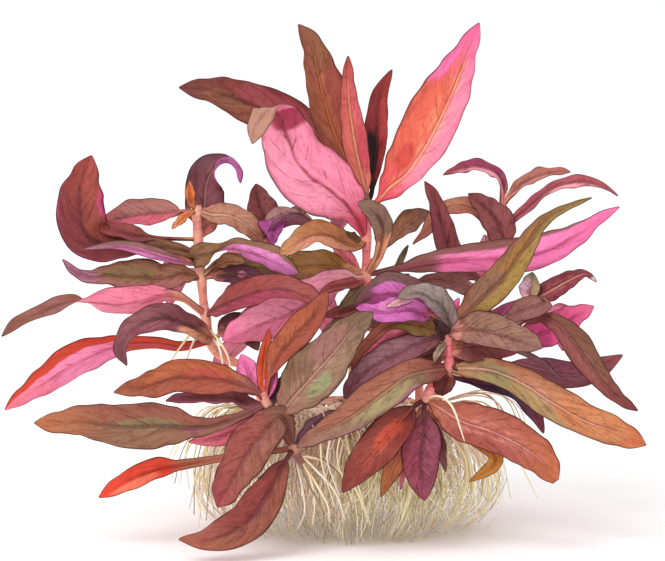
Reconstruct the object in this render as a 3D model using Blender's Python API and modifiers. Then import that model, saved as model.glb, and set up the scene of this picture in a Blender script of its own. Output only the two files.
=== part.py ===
"""A rooted clump of Alternanthera reineckii, in metres, +Z up, on the flat underside of its root mass.

Eight leafy stems rise from one skirt of roots. Every large leaf is a thin bent blade of its own. The small
leaves are fused to the stem that they grow from. Places are given in millimetres as (across, up, depth) in
the clump's front view: across to the right, up the view, and depth away from the front.
"""

import math

import bmesh
import bpy
from mathutils import Matrix, Vector

MM = 0.001
VIEW_TILT = math.radians(8)
VIEW = Vector((0, -math.cos(VIEW_TILT), math.sin(VIEW_TILT)))

BLADE_THICK = 0.8
BLADE_FULL = 0.8
STALK_WIDTH = 2.0
STALK_GAP = 0.3
TIP_WIDTH = 0.7
ROWS = 7
LONG_ROWS = 10
LEAFLET_ROWS = 5

STEM_RADIUS = {
    "main": 2.4,
    "left": 1.8,
    "back_left": 1.8,
    "front_left": 1.9,
    "right": 2.0,
    "low_right": 1.8,
    "back_right": 1.8,
    "far_right": 1.7,
}
# Where pairs of leaves leave each stem.
JOINTS = {
    "main_tip": (8.8, 130, 0),
    "main_upper": (8.6, 115.6, 1),
    "main_lower": (8.4, 101.2, 2),
    "left_tip": (-59.6, 127, 8),
    "left_second": (-58.9, 115.5, 8),
    "left_third": (-58.3, 108.5, 7.6),
    "left_fourth": (-57.6, 100, 7),
    "left_fifth": (-56, 85, 6),
    "left_sixth": (-53.4, 74.5, 5),
    "back_left_tip": (-31.5, 117, 18),
    "back_left_middle": (-30, 106, 18),
    "back_left_low": (-27, 91, 18),
    "front_left_tip": (-30.8, 50.4, -45),
    "front_left_low": (-20.4, 33, -48),
    "right_tip": (40, 78, -28),
    "right_low": (40.8, 64, -28),
    "low_right_tip": (31.6, 52, -43),
    "back_right_tip": (63.8, 128, 41),
    "back_right_middle": (62.3, 117, 40),
    "back_right_low": (56.5, 94, 35),
    "far_right_tip": (73.4, 91.5, 12),
    "far_right_low": (61.5, 69, 8.6),
}
NODE_SWELL = 1.25
STEM_SIDES = 2
STEM_STEPS = 2
LINE_STEPS = 20

ROOT_TOP = 50
ROOT_GAP = 0.3
ROOT_SIDES = 36
ROOT_CUTS = 6
# Height, half width and half depth of the root mass, from the surface up.
ROOT_PROFILE = (
    (0, 53, 43),
    (6, 61, 48),
    (14, 66, 51),
    (24, 66, 50),
    (34, 61, 45),
    (42, 54, 38),
    (47, 49, 32),
    (50, 43, 26),
)
ROOT_LOBES = ((5, 0.04, 0.4), (9, 0.03, 1.9), (14, 0.02, 3.1))

for old in list(bpy.data.objects):
    bpy.data.objects.remove(old, do_unlink=True)

PLANT = bpy.data.collections.new("alternanthera_reineckii")
GROWTHS = bpy.data.collections.new("leaves_to_fuse")
bpy.context.scene.collection.children.link(PLANT)
bpy.context.scene.collection.children.link(GROWTHS)


def at(across, up, depth):
    """The world point that the front view shows at across and up, this far back."""
    height = (up - depth * math.sin(VIEW_TILT)) / math.cos(VIEW_TILT)
    return Vector((across, depth, height)) * MM


def finish(name, colour, roughness):
    """A plain material from a colour written as it looks on a screen."""
    mat = bpy.data.materials.new(name)
    mat.use_nodes = True
    shader = mat.node_tree.nodes["Principled BSDF"]
    channels = [int(colour[i : i + 2], 16) / 255 for i in (0, 2, 4)]
    shader.inputs["Base Color"].default_value = (*[c**2.2 for c in channels], 1)
    shader.inputs["Roughness"].default_value = roughness
    shader.inputs["Metallic"].default_value = 0
    return mat


def smooth_line(points, count):
    """count + 1 evenly spaced places on a smooth line through the points, with their directions."""
    ends = [points[0] * 2 - points[1], *points, points[-1] * 2 - points[-2]]
    fine = []
    for a, b, c, d in zip(ends, ends[1:], ends[2:], ends[3:]):
        for k in range(LINE_STEPS):
            t = k / LINE_STEPS
            square, cube = (2 * a - 5 * b + 4 * c - d) * t**2, (3 * b - a - 3 * c + d) * t**3
            fine.append((2 * b + (c - a) * t + square + cube) / 2)
    fine.append(points[-1])
    run = [0.0]
    for a, b in zip(fine, fine[1:]):
        run.append(run[-1] + (b - a).length)
    places, k = [], 0
    for i in range(count + 1):
        want = run[-1] * i / count
        while k < len(fine) - 2 and run[k + 1] < want:
            k += 1
        share = (want - run[k]) / max(run[k + 1] - run[k], 1e-9)
        places.append(fine[k].lerp(fine[k + 1], share))
    directions = []
    for i in range(count + 1):
        before, after = places[max(i - 1, 0)], places[min(i + 1, count)]
        directions.append((after - before).normalized())
    return places, directions


def between(values, t):
    """The value at t along evenly spaced ones, eased from each to the next."""
    if len(values) == 1:
        return values[0]
    place = min(t, 0.9999) * (len(values) - 1)
    k = int(place)
    ease = (1 - math.cos(math.pi * (place - k))) / 2
    return values[k] + (values[k + 1] - values[k]) * ease


def half_width(width, stalk, belly, t):
    """Half the blade's width at t: a narrow stalk, a lance shape widest at its belly, a sharp tip."""
    narrow = STALK_WIDTH + (TIP_WIDTH - STALK_WIDTH) * t
    if t <= stalk:
        return narrow / 2
    s = (t - stalk) / (1 - stalk)
    bend = math.log(0.5) / math.log(belly)
    return (narrow + (width - narrow) * math.sin(math.pi * s**bend) ** BLADE_FULL) / 2


def stalk_base(joint, toward):
    """Where a stalk meets its stem's side: out from the joint towards the leaf, a hair's gap clear."""
    centre = at(*JOINTS[joint])
    along = (toward - centre).normalized()
    steep = abs(along.z)
    level = max(math.sqrt(1 - steep**2), 0.35)
    stem = STEM_RADIUS[joint.rsplit("_", 1)[0]] * NODE_SWELL
    return centre + along * (stem + STALK_GAP + steep * STALK_WIDTH / 2) / level * MM


def blade_frames(directions, turn, carried, skyward, facings):
    """For each place, the way across the blade and the way its upper side faces.

    A turn of 0 shows the upper side to the front, 90 turns it up, and 180 shows the underside. A carried
    blade keeps its own side through a bend instead. A skyward blade's turn is counted from the sky. A folded
    blade gives the way that it faces at even steps.
    """
    leftward = sum((d.x for d in directions)) < 0
    count = len(directions) - 1
    frames, normal = [], None
    for i, along in enumerate(directions):
        facing = Vector((0, 0, 1)) if skyward else VIEW
        angle = math.radians(between(turn, i / count))
        if facings:
            normal = between([Vector(f) for f in facings], i / count)
        elif carried and normal is not None:
            normal = directions[i - 1].rotation_difference(along) @ normal
            step = angle - math.radians(between(turn, (i - 1) / count))
            normal = Matrix.Rotation(step, 3, along) @ normal
        else:
            front = (facing - along * facing.dot(along)).normalized()
            inner = along.cross(front) * (1 if leftward else -1)
            normal = front * math.cos(angle) + inner * math.sin(angle)
        normal = (normal - along * normal.dot(along)).normalized()
        frames.append((normal.cross(along), normal))
    return frames


def blade(name, colour, width, turn, line, cup=0.2, stalk=0.08, belly=0.43, rows=ROWS, ripple=0,
          carried=False, skyward=False, facings=None, home=None):
    """One leaf: a flat grid bent along its line, turned about it, cupped, and given its thickness.

    Its line starts at the name of a joint, or at a place of its own. A fused leaf starts inside its stem.
    Its width is one number for a lance shape, or the widths at even steps.
    """
    rest = [at(*p) for p in line[1:]]
    if not isinstance(line[0], str):
        start = at(*line[0])
    elif home:
        start = at(*JOINTS[line[0]])
    else:
        start = stalk_base(line[0], rest[0])
    points = [start, *rest]
    places, directions = smooth_line(points, rows)
    frames = blade_frames(directions, turn, carried, skyward, facings)
    widest = max(width) if isinstance(width, tuple) else width
    bm = bmesh.new()
    bmesh.ops.create_grid(bm, x_segments=rows, y_segments=2, size=0.5)
    for vert in bm.verts:
        t = vert.co.x + 0.5
        v = vert.co.y * 2
        i = round(t * rows)
        across, normal = frames[i]
        if isinstance(width, tuple):
            half = between(width, t) / 2 * MM
        else:
            half = half_width(width, stalk, belly, t) * MM
        lift = cup * half * v**2
        wave = ripple * MM * v * math.sin(math.tau * 1.5 * t) * min(half / (widest * MM / 2), 1)
        vert.co = places[i] + across * half * v + normal * (lift + wave)
    mesh = bpy.data.meshes.new(name)
    bm.to_mesh(mesh)
    bm.free()
    mesh.shade_smooth()
    mesh.materials.append(finish(name, colour, 0.5))
    leaf = bpy.data.objects.new(name, mesh)
    (home or PLANT).objects.link(leaf)
    solid = leaf.modifiers.new("thickness", "SOLIDIFY")
    solid.thickness = BLADE_THICK * MM
    solid.offset = 0
    return leaf


def stalked_tube(shoot, colour, line, growths):
    """A stem: a round tube, swollen at its leaf joints, with its small leaves fused on."""
    name = f"stem_{shoot}"
    radius = STEM_RADIUS[shoot] * MM
    points = [at(*p) for p in line]
    places, _ = smooth_line(points, STEM_STEPS * (len(points) - 1))
    spots = [at(*place) for joint, place in JOINTS.items() if joint.rsplit("_", 1)[0] == shoot]
    curve = bpy.data.curves.new(name, "CURVE")
    curve.dimensions = "3D"
    curve.bevel_depth = radius
    curve.bevel_resolution = STEM_SIDES
    curve.resolution_u = 1
    curve.render_resolution_u = 0
    curve.use_fill_caps = True
    spline = curve.splines.new("POLY")
    spline.points.add(len(places) - 1)
    for point, place in zip(spline.points, places):
        point.co = (*place, 1)
        near = min((place - spot).length for spot in spots)
        point.radius = 1 + (NODE_SWELL - 1) * max(0, 1 - near / (3 * radius))
    holder = bpy.data.objects.new(name, curve)
    bpy.context.scene.collection.objects.link(holder)
    mesh = bpy.data.meshes.new_from_object(holder.evaluated_get(bpy.context.evaluated_depsgraph_get()))
    bpy.data.objects.remove(holder)
    bpy.data.curves.remove(curve)
    bm = bmesh.new()
    bm.from_mesh(mesh)
    bmesh.ops.remove_doubles(bm, verts=bm.verts, dist=0.00001)
    bmesh.ops.recalc_face_normals(bm, faces=bm.faces)
    bm.to_mesh(mesh)
    bm.free()
    mesh.shade_smooth()
    mesh.materials.clear()
    mesh.materials.append(finish(name, colour, 0.45))
    stem = bpy.data.objects.new(name, mesh)
    PLANT.objects.link(stem)
    for label, leaf_colour, width, turn, way, more in growths:
        form = {"rows": LEAFLET_ROWS, "home": GROWTHS, **more}
        leaf = blade(f"{name}_{label}", leaf_colour, width, turn, way, **form)
        leaf.hide_render = True
        leaf.display_type = "WIRE"
        joined = stem.modifiers.new(f"fuse_{label}", "BOOLEAN")
        joined.operation = "UNION"
        joined.object = leaf


def root_mass():
    """The skirt of roots: a ribbed drum, flat below, flaring from the stems' feet to the surface."""
    bm = bmesh.new()
    bmesh.ops.create_cone(bm, cap_ends=True, segments=ROOT_SIDES, radius1=1, radius2=1, depth=ROOT_TOP)
    uprights = [e for e in bm.edges if abs(e.verts[0].co.z - e.verts[1].co.z) > 1]
    bmesh.ops.subdivide_edges(bm, edges=uprights, cuts=ROOT_CUTS, use_grid_fill=True)
    levels = sorted({round(v.co.z, 3) for v in bm.verts})
    for vert in bm.verts:
        height, wide, deep = ROOT_PROFILE[levels.index(round(vert.co.z, 3))]
        angle = math.atan2(vert.co.y, vert.co.x)
        lobes = sum(size * math.cos(k * angle + start) for k, size, start in ROOT_LOBES)
        reach = 1 + lobes * (1.3 - height / ROOT_TOP)
        vert.co = Vector((math.cos(angle) * wide * reach, math.sin(angle) * deep * reach, height)) * MM
    mesh = bpy.data.meshes.new("root_mass")
    bm.to_mesh(mesh)
    bm.free()
    mesh.materials.append(finish("root_mass", "e8dcae", 0.8))
    PLANT.objects.link(bpy.data.objects.new("root_mass", mesh))


def foot(x, y):
    """The last places of a stem that stands upright on the root mass's top."""
    tilt = math.sin(VIEW_TILT)
    rise = math.cos(VIEW_TILT)
    return [(x, (ROOT_TOP + up) * rise + y * tilt, y) for up in (12, 6, ROOT_GAP)]


SKY = {"skyward": True, "rows": 4}
BUD = {"rows": 3}
THREAD = {"rows": 3, "cup": 0}


def stems():
    """The eight stems, from the tip down, with the small leaves that are fused to each."""
    stalked_tube(
        "main", "f0868e",
        [(8.8, 131, 0), (8.6, 116, 1), (8.4, 101, 2), (7.5, 86, 3), (5, 70, 3), *foot(3, 3)],
        [("small_right", "90603f", 10, (30,),
          [(8.6, 106, 2), (12.6, 108.5, 4), (18.8, 115.2, 5), (24.4, 121, 5),
           (33.6, 126.8, 3)], {"belly": 0.55}),
         ("narrow_olive", "8a7a5c", 3.6, (20,), [(8.2, 93, 3), (15, 96, 7), (20.4, 103, 9), (25.4, 113.2, 9)],
          {"belly": 0.6}),
         ("back_long", "7c4438", 17, (20, 0), [(8, 92, 3), (12, 98, 26), (18, 98, 52), (22, 88, 76)], SKY),
         ("back_upper", "8c4a44", 15, (20, 0),
          ["main_upper", (4, 124, 24), (0, 126, 44), (-3, 118, 62)], SKY)])
    stalked_tube(
        "left", "e8a090",
        [(-59.6, 129, 8), (-58.9, 115, 8), (-57.6, 100, 7), (-56, 85, 6), (-51.5, 70, 5), *foot(-34, 4)],
        [("bud_upright", "d87440", 3.4, (20,), ["left_tip", (-61, 132, 5), (-61.5, 139, 4)], BUD),
         ("bud_low", "d87440", 3, (20,), ["left_tip", (-64, 124, 3), (-69, 120, 1)], BUD),
         ("narrow_pink", "e080b8", 5.5, (160,),
          [(-58.2, 104.8, 7.3), (-64, 106.6, 0), (-71.2, 108.4, -6), (-81.6, 111.4, -9.6),
           (-91.2, 113, -11.4),
           (-104, 111.6, -12)], {}),
         ("small_olive", "927048", 6, (30,), ["left_fourth", (-51, 107, 9), (-45, 107.5, 10), (-36, 105, 10)],
          {"stalk": 0.35}),
         ("dark_mauve", "6c3848", 8, (20,),
          ["left_fourth", (-47, 101, 4), (-37, 100.6, 2), (-29, 97.4, 1)], {}),
         ("low_dark", "743c40", 12, (20,),
          ["left_sixth", (-46.5, 80, 1), (-40, 79, -2), (-34.6, 71, -3)], {}),
         ("root_high", "ecd8b0", 1.1, (0,),
          [(-56, 84, 6), (-62, 80, 0), (-67, 76.4, -3), (-70.8, 73.2, -4)], THREAD),
         ("root_low", "ecd8b0", 1.1, (0,),
          [(-55.8, 83, 5.8), (-53.4, 77, -1), (-49.4, 70, -4), (-46.8, 65.2, -5)],
          THREAD),
         ("back", "844c44", 15, (20, 0),
          ["left_fourth", (-64, 104, 26), (-70, 100, 46), (-72, 88, 64)], SKY)])
    stalked_tube(
        "back_left", "dc8478",
        [(-31.5, 119, 18), (-30, 108, 18), (-27, 92, 18), (-22, 76, 17), *foot(-17, 14)],
        [("small_olive", "7a6248", 6, (30,),
          ["back_left_tip", (-22, 124, 21), (-14, 129.5, 21), (-9, 126.5, 20)], {}),
         ("back_left", "8c4a40", 17, (20, 0),
          ["back_left_middle", (-36, 110, 40), (-42, 106, 62), (-44, 92, 82)], SKY),
         ("back_right", "6e4a3c", 16, (20, 0),
          ["back_left_low", (-18, 92, 40), (-10, 86, 62), (-6, 74, 80)], SKY),
         ("low_back", "9a5648", 15, (10, 0),
          [(-23, 78, 17), (-34, 78, 36), (-46, 70, 54), (-54, 56, 68)], SKY)])
    stalked_tube(
        "front_left", "f08890",
        [(-32.4, 55, -45), (-30.8, 50.4, -45), (-26, 41.6, -46), (-20.4, 33, -48), (-17, 27, -48.5)],
        [("wavy_mauve", "864650", 6, (30,),
          ["front_left_tip", (-44, 54.5, -38), (-56, 52, -34), (-71, 51, -32)],
          {"ripple": 1}),
         ("low_pink", "e87c8c", 9, (165,),
          [(-29, 48, -45.4), (-39, 42, -46.4), (-51, 37, -46), (-61.6, 35.4, -45)],
          {}),
         ("small_red", "c44422", 6, (10,), [(-32, 53, -44.8), (-32, 64, -38), (-30, 80, -35)], {}),
         ("small_pink", "f080b8", 8, (10,), [(-32, 53, -44.8), (-37, 60, -37), (-41, 70, -33)], {})])
    stalked_tube(
        "right", "f08a80",
        [(39.8, 82, -28), (40, 78, -28), (40.8, 64, -28), *foot(35, -10)],
        [("low_brown", "7a4438", 9, (20,), [(40.5, 71, -28), (54, 71, -33), (66, 70, -34)], {}),
         ("small_dark", "7c3a34", 9, (10,), [(40.8, 63, -28), (39, 58, -31), (37, 53, -33)], {}),
         ("low_purple", "5c3450", 9, (30,),
          [(40.6, 61, -27.6), (52, 58.5, -30), (63, 56.5, -33), (72, 51, -36),
           (78.4, 38.6, -37)], {"belly": 0.6}),
         ("back", "8a5848", 15, (20, 0), [(40.6, 68, -28), (62, 74, -22), (84, 66, -14), (96, 52, -8)], SKY)])
    stalked_tube(
        "low_right", "f08898",
        [(33.5, 57, -43), (31.6, 52, -43), (29.5, 46, -40), (27.5, 41, -35)],
        [("small_orange", "c07444", 9, (10,), [(31, 50, -42.5), (22, 33, -51), (14, 14, -54)], {}),
         ("pale_root", "f0e0b0", 1.6, (0,),
          [(31.8, 52.4, -43), (37, 53.6, -52), (42, 49.2, -62), (46.4, 36.4, -67)],
          THREAD),
         ("small_gold", "c88634", 7, (20,),
          [(30.2, 48, -41.4), (45, 40, -46), (56.6, 33, -51), (58, 27, -53), (48.7, 20.2, -55)],
          {"belly": 0.6})])
    stalked_tube(
        "back_right", "e8909c",
        [(64, 130, 41), (62.5, 118, 40), (60, 104, 38), (55, 90, 34), (45, 74, 26), *foot(30, 14)],
        [("small_arch", "b87058", 7, (40,),
          ["back_right_middle", (57, 124.5, 38), (50, 129, 35.5), (43.6, 129.4, 34), (38.4, 126.4, 33),
           (34, 120.4, 32), (27.5, 114, 31)], {"rows": 7}),
         ("mauve_behind", "885048", 9, (30,),
          ["back_right_low", (46, 97, 20), (36, 99, 15), (27, 97, 12)], {}),
         ("back_long", "8a4a44", 16, (20, 0),
          [(61, 108, 38.5), (64, 114, 60), (62, 108, 80), (58, 94, 96)], SKY),
         ("back_low", "7a5440", 16, (20, 0), [(51, 84, 31), (46, 88, 52), (38, 82, 72), (34, 70, 88)], SKY)])
    stalked_tube(
        "far_right", "f0b0b0",
        [(74, 93, 12), (69, 84, 11), (62.4, 72, 9), (60.5, 65, 8), (53, 58.5, 6), *foot(38, 4)],
        [("round_mauve", "b86888", 10, (20,), [(73, 90, 12), (75.2, 96, 12), (76.4, 102.6, 13)], {}),
         ("small_mauve", "96584c", 9, (30,), ["far_right_tip", (68, 89, 6), (62, 86, 3)], {}),
         ("back", "84483e", 15, (20, 0), [(66.5, 79, 10), (80, 86, 28), (88, 82, 48), (90, 70, 66)], SKY)])


def crown_leaves():
    """The six leaves around the main stem's tip."""
    blade("crown_leaf_tall_brown", "96483a", (2.4, 8.5, 14, 17.2, 17.6, 16.4, 12.8, 8.4, 0.7), (30, 18, 10),
          [(6.2, 133.2, 2.6), (4.6, 140.5, 6), (-2.4, 156.4, 10), (-6.8, 169.2, 11.5), (-10, 181.2, 11),
           (-13.2, 192, 9.5), (-18.8, 200.8, 8)], rows=LONG_ROWS)
    blade("crown_leaf_centre", "c4584e", (2, 7.5, 9.5, 9.8, 8.6, 6.5, 4, 0.7), (5,),
          [(8.6, 133, -1.5), (6.6, 141.2, -2), (4.4, 151.2, -2), (2.6, 163.2, -1.5), (1.4, 176, 0),
           (1.4, 188, 2)],
          cup=0.35)
    blade("crown_leaf_dark_red", "8c2c2c", 9.5, (15,),
          [(10.6, 133.5, 3), (11.6, 143.2, 6.5), (12.8, 153.2, 9), (13.2, 163.2, 10.5), (14, 172.4, 11.5),
           (18.8, 183.4, 12)], cup=0.3, stalk=0.05, belly=0.5)
    blade("crown_leaf_right_pink", "e8607c", (2.4, 8.5, 15, 19.6, 21.4, 20, 15.4, 9, 0.7), (12, 5, 10),
          [(12.6, 130.5, -0.5), (20.4, 141.2, -4), (27.6, 151.2, -4), (35.8, 164, -4), (42.8, 177.2, -2),
           (48.8, 189.8, 1), (53, 201.6, 4)], rows=LONG_ROWS, cup=0.15)
    blade("crown_leaf_left_arched", "80403a", 17, (20, 15, 15, 15),
          [(7.5, 130.5, 4.2), (4.4, 136, 9), (-2.2, 144.8, 16), (-11.2, 154.5, 21), (-19.5, 161.2, 23),
           (-25.6, 164.8, 22.5), (-33, 167.8, 21), (-43, 171, 18), (-52, 174, 14), (-65.6, 176.4, 10)],
          rows=LONG_ROWS, stalk=0.12, belly=0.55)
    away, up, near = (0, 1, 0), (0, 0.1, 1), (0, -1, 0)
    blade("crown_leaf_left_folded", "f07c9a", (3, 8, 19, 24.4, 24.4, 23, 21, 17.5, 15, 11, 0.7), (0,),
          ["main_upper", (2.4, 127.2, -7), (-4.4, 134.4, -11), (-13.2, 141.2, -13.5), (-17.6, 146.4, -14.5),
           (-21.2, 154.4, -15.5), (-25, 160.6, -16), (-27.6, 164.8, -18), (-30.2, 166.4, -21),
           (-33.4, 164.6, -23.5), (-35.8, 159.6, -24.5), (-36.5, 153.5, -24.5)],
          rows=15, cup=0.06, facings=(away, away, away, away, away, away, away, (0, 1, 0.6), up, near, near))


def main_leaves():
    """The main stem's second pair and the leaves beside it."""
    blade("main_leaf_bent_back", "8c6858", 9, (160, 120, 40, 20),
          ["main_lower", (13.4, 109.4, -6), (16.6, 116.4, -10), (15.8, 122.6, -13), (9.8, 127.6, -16),
           (4, 129.2, -17)],
          stalk=0.25, rows=9)
    blade("main_leaf_left_arched", "b06c40", 10, (30, 40),
          ["main_lower", (2, 107, -6), (-3, 113.5, -14), (-12, 118, -20), (-20, 113.6, -22),
           (-25.6, 110, -22)])
    blade("main_leaf_left_olive", "8c6434", 12, (30,),
          ["main_lower", (0, 103.6, 0.6), (-10, 105.2, 1), (-20, 104.8, 1.5), (-30.8, 101.6, 2)], stalk=0.15)
    blade("main_leaf_left_drooping", "f080a8", 21, (155, 150),
          [(5, 98.6, -0.4), (-6, 95, -7), (-22, 85, -10), (-49, 75, -9)], rows=LONG_ROWS)
    blade("main_leaf_right_long", "b06078", (2.5, 2.8, 6.5, 9.5, 12.5, 15, 15, 13, 9.5, 5, 0.7),
          (160, 165, 165, 165),
          ["main_lower", (20, 103.4, 3), (35.2, 106.2, 4), (51.8, 107.8, 5), (64, 108.2, 5.6), (75, 109.4, 7),
           (84.8, 112.8, 8), (93.2, 117.4, 8), (101.4, 123.6, 8), (110, 128.5, 8)], rows=LONG_ROWS)


def left_leaves():
    """The left stem's ten large leaves, from the top."""
    blade("left_leaf_curled_plum", "5c2e34", (4, 12, 17, 18, 18, 16, 12, 9, 7, 4, 0.7),
          (5, 5, 10, 40, 80, 80),
          ["left_second", (-56.5, 122, 16), (-56, 133, 19), (-54, 142, 17.5), (-49, 146, 14),
           (-43.5, 144.5, 10),
           (-40.4, 137.2, 8)], rows=LONG_ROWS)
    blade("left_leaf_salmon", "b87c64", 11, (30,),
          ["left_tip", (-53, 126, 9), (-46, 125, 9), (-38, 120.5, 9), (-32, 115.6, 9)], stalk=0.03)
    blade("left_leaf_upper_pink", "a85c68", 14, (40, 45),
          ["left_tip", (-74, 127.6, 10), (-82, 127.2, 10), (-90.8, 125.2, 10),
           (-100.2, 123.8, 9)], stalk=0.12)
    blade("left_leaf_dark_red_upturned", "7c302c", (3, 4.5, 5.5, 7, 11, 16, 18.5, 19, 18, 12, 0.7),
          (40, 25, 10, 10),
          ["left_third", (-68, 111.6, 1), (-78, 113, -2), (-88, 112, -4), (-96, 112.2, -5.5),
           (-102.4, 116, -6.5), (-106, 123, -7), (-107.2, 131.5, -7), (-106, 139.8, -6), (-101.8, 148.4, -5)],
          rows=LONG_ROWS)
    blade("left_leaf_wavy_olive", "86603c", (4, 8, 8.5, 9, 10, 12, 12, 9, 0.7), (5, 20, 50, 110, 140),
          [(-60.4, 108.8, 3.8), (-55, 109.8, 2.6), (-49.2, 112, 0), (-42, 112.4, -4), (-33.2, 109.6, -7),
           (-26, 106, -9), (-18.8, 102.4, -10)], rows=LONG_ROWS)
    blade("left_leaf_mauve_olive", "8a5c50", (2.4, 5, 10, 12.5, 12.5, 11.5, 8, 5, 3.6, 0.7), (35, 30, 20, 20),
          ["left_fourth", (-67.2, 102, 0), (-74, 101, -3), (-84, 101.8, -5.5), (-94, 102, -7),
           (-102, 100.6, -7),
           (-108, 102.8, -7), (-112.6, 107.2, -7)])
    blade("left_leaf_long_pink", "d87084", 13.5, (160, 160, 130, 40, 30),
          ["left_fifth", (-63.6, 90.4, -4), (-72, 91.8, -12), (-82, 90.4, -16), (-92, 90.4, -19),
           (-102, 92.4, -21),
           (-110.8, 90.4, -21), (-121.2, 87.4, -20), (-130.8, 84, -19), (-136.4, 77.6, -18)],
          rows=LONG_ROWS, stalk=0.15)
    blade("left_leaf_mauve_arched", "7a424a", 12, (55, 60),
          ["left_sixth", (-62, 82, -8), (-73, 86, -20), (-83, 81.5, -24), (-88.5, 74, -25), (-87, 66, -25)],
          stalk=0.2, belly=0.5)
    blade("left_leaf_lowest_orange", "e0705c", 15.5, (150, 150),
          ["left_sixth", (-66, 72.6, 1), (-76, 73.8, 0), (-87, 73.4, -2), (-97, 70.6, -3), (-106, 67, -4),
           (-116, 61.4, -4), (-126, 55.8, -4), (-136, 48.4, -4)], rows=LONG_ROWS, stalk=0.15, belly=0.6)
    blade("left_leaf_crimson", "9c3c4c", 14, (40, 35),
          ["left_fifth", (-44, 91, -8), (-30, 96, -18), (-16, 94.5, -23), (-9, 91, -24)])


def back_left_leaves():
    """The back left stem's two leaves that the front shows."""
    blade("back_left_leaf_upright", "8c4c44", (5, 11.5, 11, 7, 0.7), (15,),
          [(-31.2, 121.5, 18.5), (-32.8, 127, 19.4), (-34.4, 132.4, 20), (-35.9, 137.8, 20)])
    blade("back_left_leaf_purple", "a05078", 14, (60, 120),
          ["back_left_middle", (-16, 120, 13), (-24, 121, 8), (-32.8, 115.6, 6)], stalk=0.3)


def front_left_leaves():
    """The front left stem's seven large leaves."""
    blade("front_leaf_orange_brown", "a8502e", (3, 8, 13, 14, 14, 12, 7, 0.7), (20,),
          [(-34, 54.6, -45.5), (-41, 58, -44), (-50, 59.8, -43), (-65.5, 60.8, -42), (-75.2, 58.2, -43),
           (-91, 55.6, -44)])
    blade("front_leaf_long_brown", "8c5444", (3, 4, 6, 8.5, 15.5, 19.5, 19.5, 16.5, 12.5, 8, 0.7),
          (20, 15, 15, 25),
          ["front_left_tip", (-41, 45.6, -48.6), (-55, 40.8, -51.5), (-71, 41.4, -54), (-86.4, 41, -55),
           (-96.8, 43, -54), (-104, 44.2, -53), (-113, 43.2, -52), (-122, 43.2, -51)], rows=LONG_ROWS)
    blade("front_leaf_hanging", "944a40", (3, 11, 15, 15, 13, 9, 0.7), (12,),
          ["front_left_low", (-27, 38.6, -54.5), (-33, 36, -57.4), (-39.6, 28.2, -59), (-45.2, 18.6, -59.5),
           (-49.6, 10.4, -60)])
    blade("front_leaf_broad_olive", "7e6244", (3, 14, 18.5, 18, 16.5, 13.5, 9, 0.7), (12,),
          [(-23.4, 43, -50.8), (-19.2, 52, -51.4), (-12, 62.4, -51), (-4, 72, -50), (4, 81.2, -48),
           (10.4, 86, -46.5)])
    blade("front_leaf_upright_orange", "b0562e", 13, (25,),
          [(-30.4, 57.8, -43.5), (-26.6, 68.4, -42), (-19.8, 77, -41), (-12.6, 84.4, -39), (-6.8, 94.4, -37)],
          belly=0.5)
    blade("front_leaf_low_orange_red", "e04a28", (2.4, 2.6, 3, 3.4, 3.8, 4.4, 8.5, 10, 7.5, 0.7), (20,),
          ["front_left_low", (-32, 31.4, -50.5), (-44, 29.6, -48.5), (-56, 27.8, -46.5), (-66.8, 26, -46),
           (-74, 24.8, -46), (-81.6, 21.6, -46), (-89.2, 18, -46), (-97, 13.6, -46)], rows=9)
    blade("front_leaf_lowest", "904038", 16, (10, 10, 30),
          ["front_left_low", (-24.8, 26, -57), (-28.6, 18.4, -62), (-32.4, 11.6, -67), (-38, 3.2, -71),
           (-45.6, -2, -74), (-55, -5, -75.4), (-64.6, -4, -76)], belly=0.48)


def right_leaves():
    """The right stem's eight large leaves, from both of its joints."""
    blade("right_leaf_mauve", "845060", 12, (25,),
          ["right_tip", (28, 73.2, -36), (18.8, 68.8, -41), (10, 64.4, -45), (2.8, 57.6, -48.4),
           (-0.2, 52.8, -49)])
    blade("right_leaf_grey_arched", "96847c", 10.5, (45, 50),
          [(40.2, 84.6, -30), (38.9, 89.2, -34), (33.2, 92.8, -38), (26.8, 93, -41), (21.2, 92.4, -43)])
    blade("right_leaf_golden", "98703a", (3, 8, 12, 13.5, 13, 11, 8.5, 6, 5, 3.6, 0.7), (10,),
          [(42.7, 81.5, -28.8), (48.4, 86, -31), (54, 91.2, -33), (60, 96, -34), (65.2, 102, -34.5),
           (69.2, 107.4, -35), (72.8, 113.2, -35), (75.2, 118.4, -34), (78.4, 122.4, -33),
           (82.8, 125.4, -32.5), (88.4, 128.6, -32), (96.8, 131.8, -31)], rows=LONG_ROWS)
    blade("right_leaf_grey_brown", "8c6452", 14, (30,),
          ["right_tip", (58, 79, -42), (77, 73, -50)])
    blade("right_leaf_long_left", "9c5a4c", 14.5, (15,),
          ["right_low", (26, 61.4, -48), (16.6, 55.4, -55), (6.8, 48.6, -60), (0, 44.4, -63),
           (-8.8, 39.8, -65.5),
           (-19, 34, -67)], rows=LONG_ROWS, belly=0.5)
    blade("right_leaf_long_orange", "c88048", (3, 4.5, 7, 10, 13, 14.5, 14.5, 13, 12.5, 9.5, 0.7), (15,),
          ["right_low", (54, 63.2, -37), (62, 61.4, -41), (70.4, 57.4, -45), (81.2, 50.2, -49),
           (93.6, 42.8, -51),
           (104.8, 39.4, -52), (118.3, 33.6, -52)], rows=LONG_ROWS)
    blade("right_leaf_purple_twisted", "c864ac", 16, (150, 160, 130),
          [(37, 83, -25), (28, 90, -29), (15, 92, -31), (4, 89, -31)])
    blade("right_leaf_gold_curled", "8c7242", 15, (30, 60, 135, 145),
          [(36.8, 79.5, -28.5), (26, 84, -34), (15, 82, -38), (7, 72, -40), (1, 57, -41)], rows=8)


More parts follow.
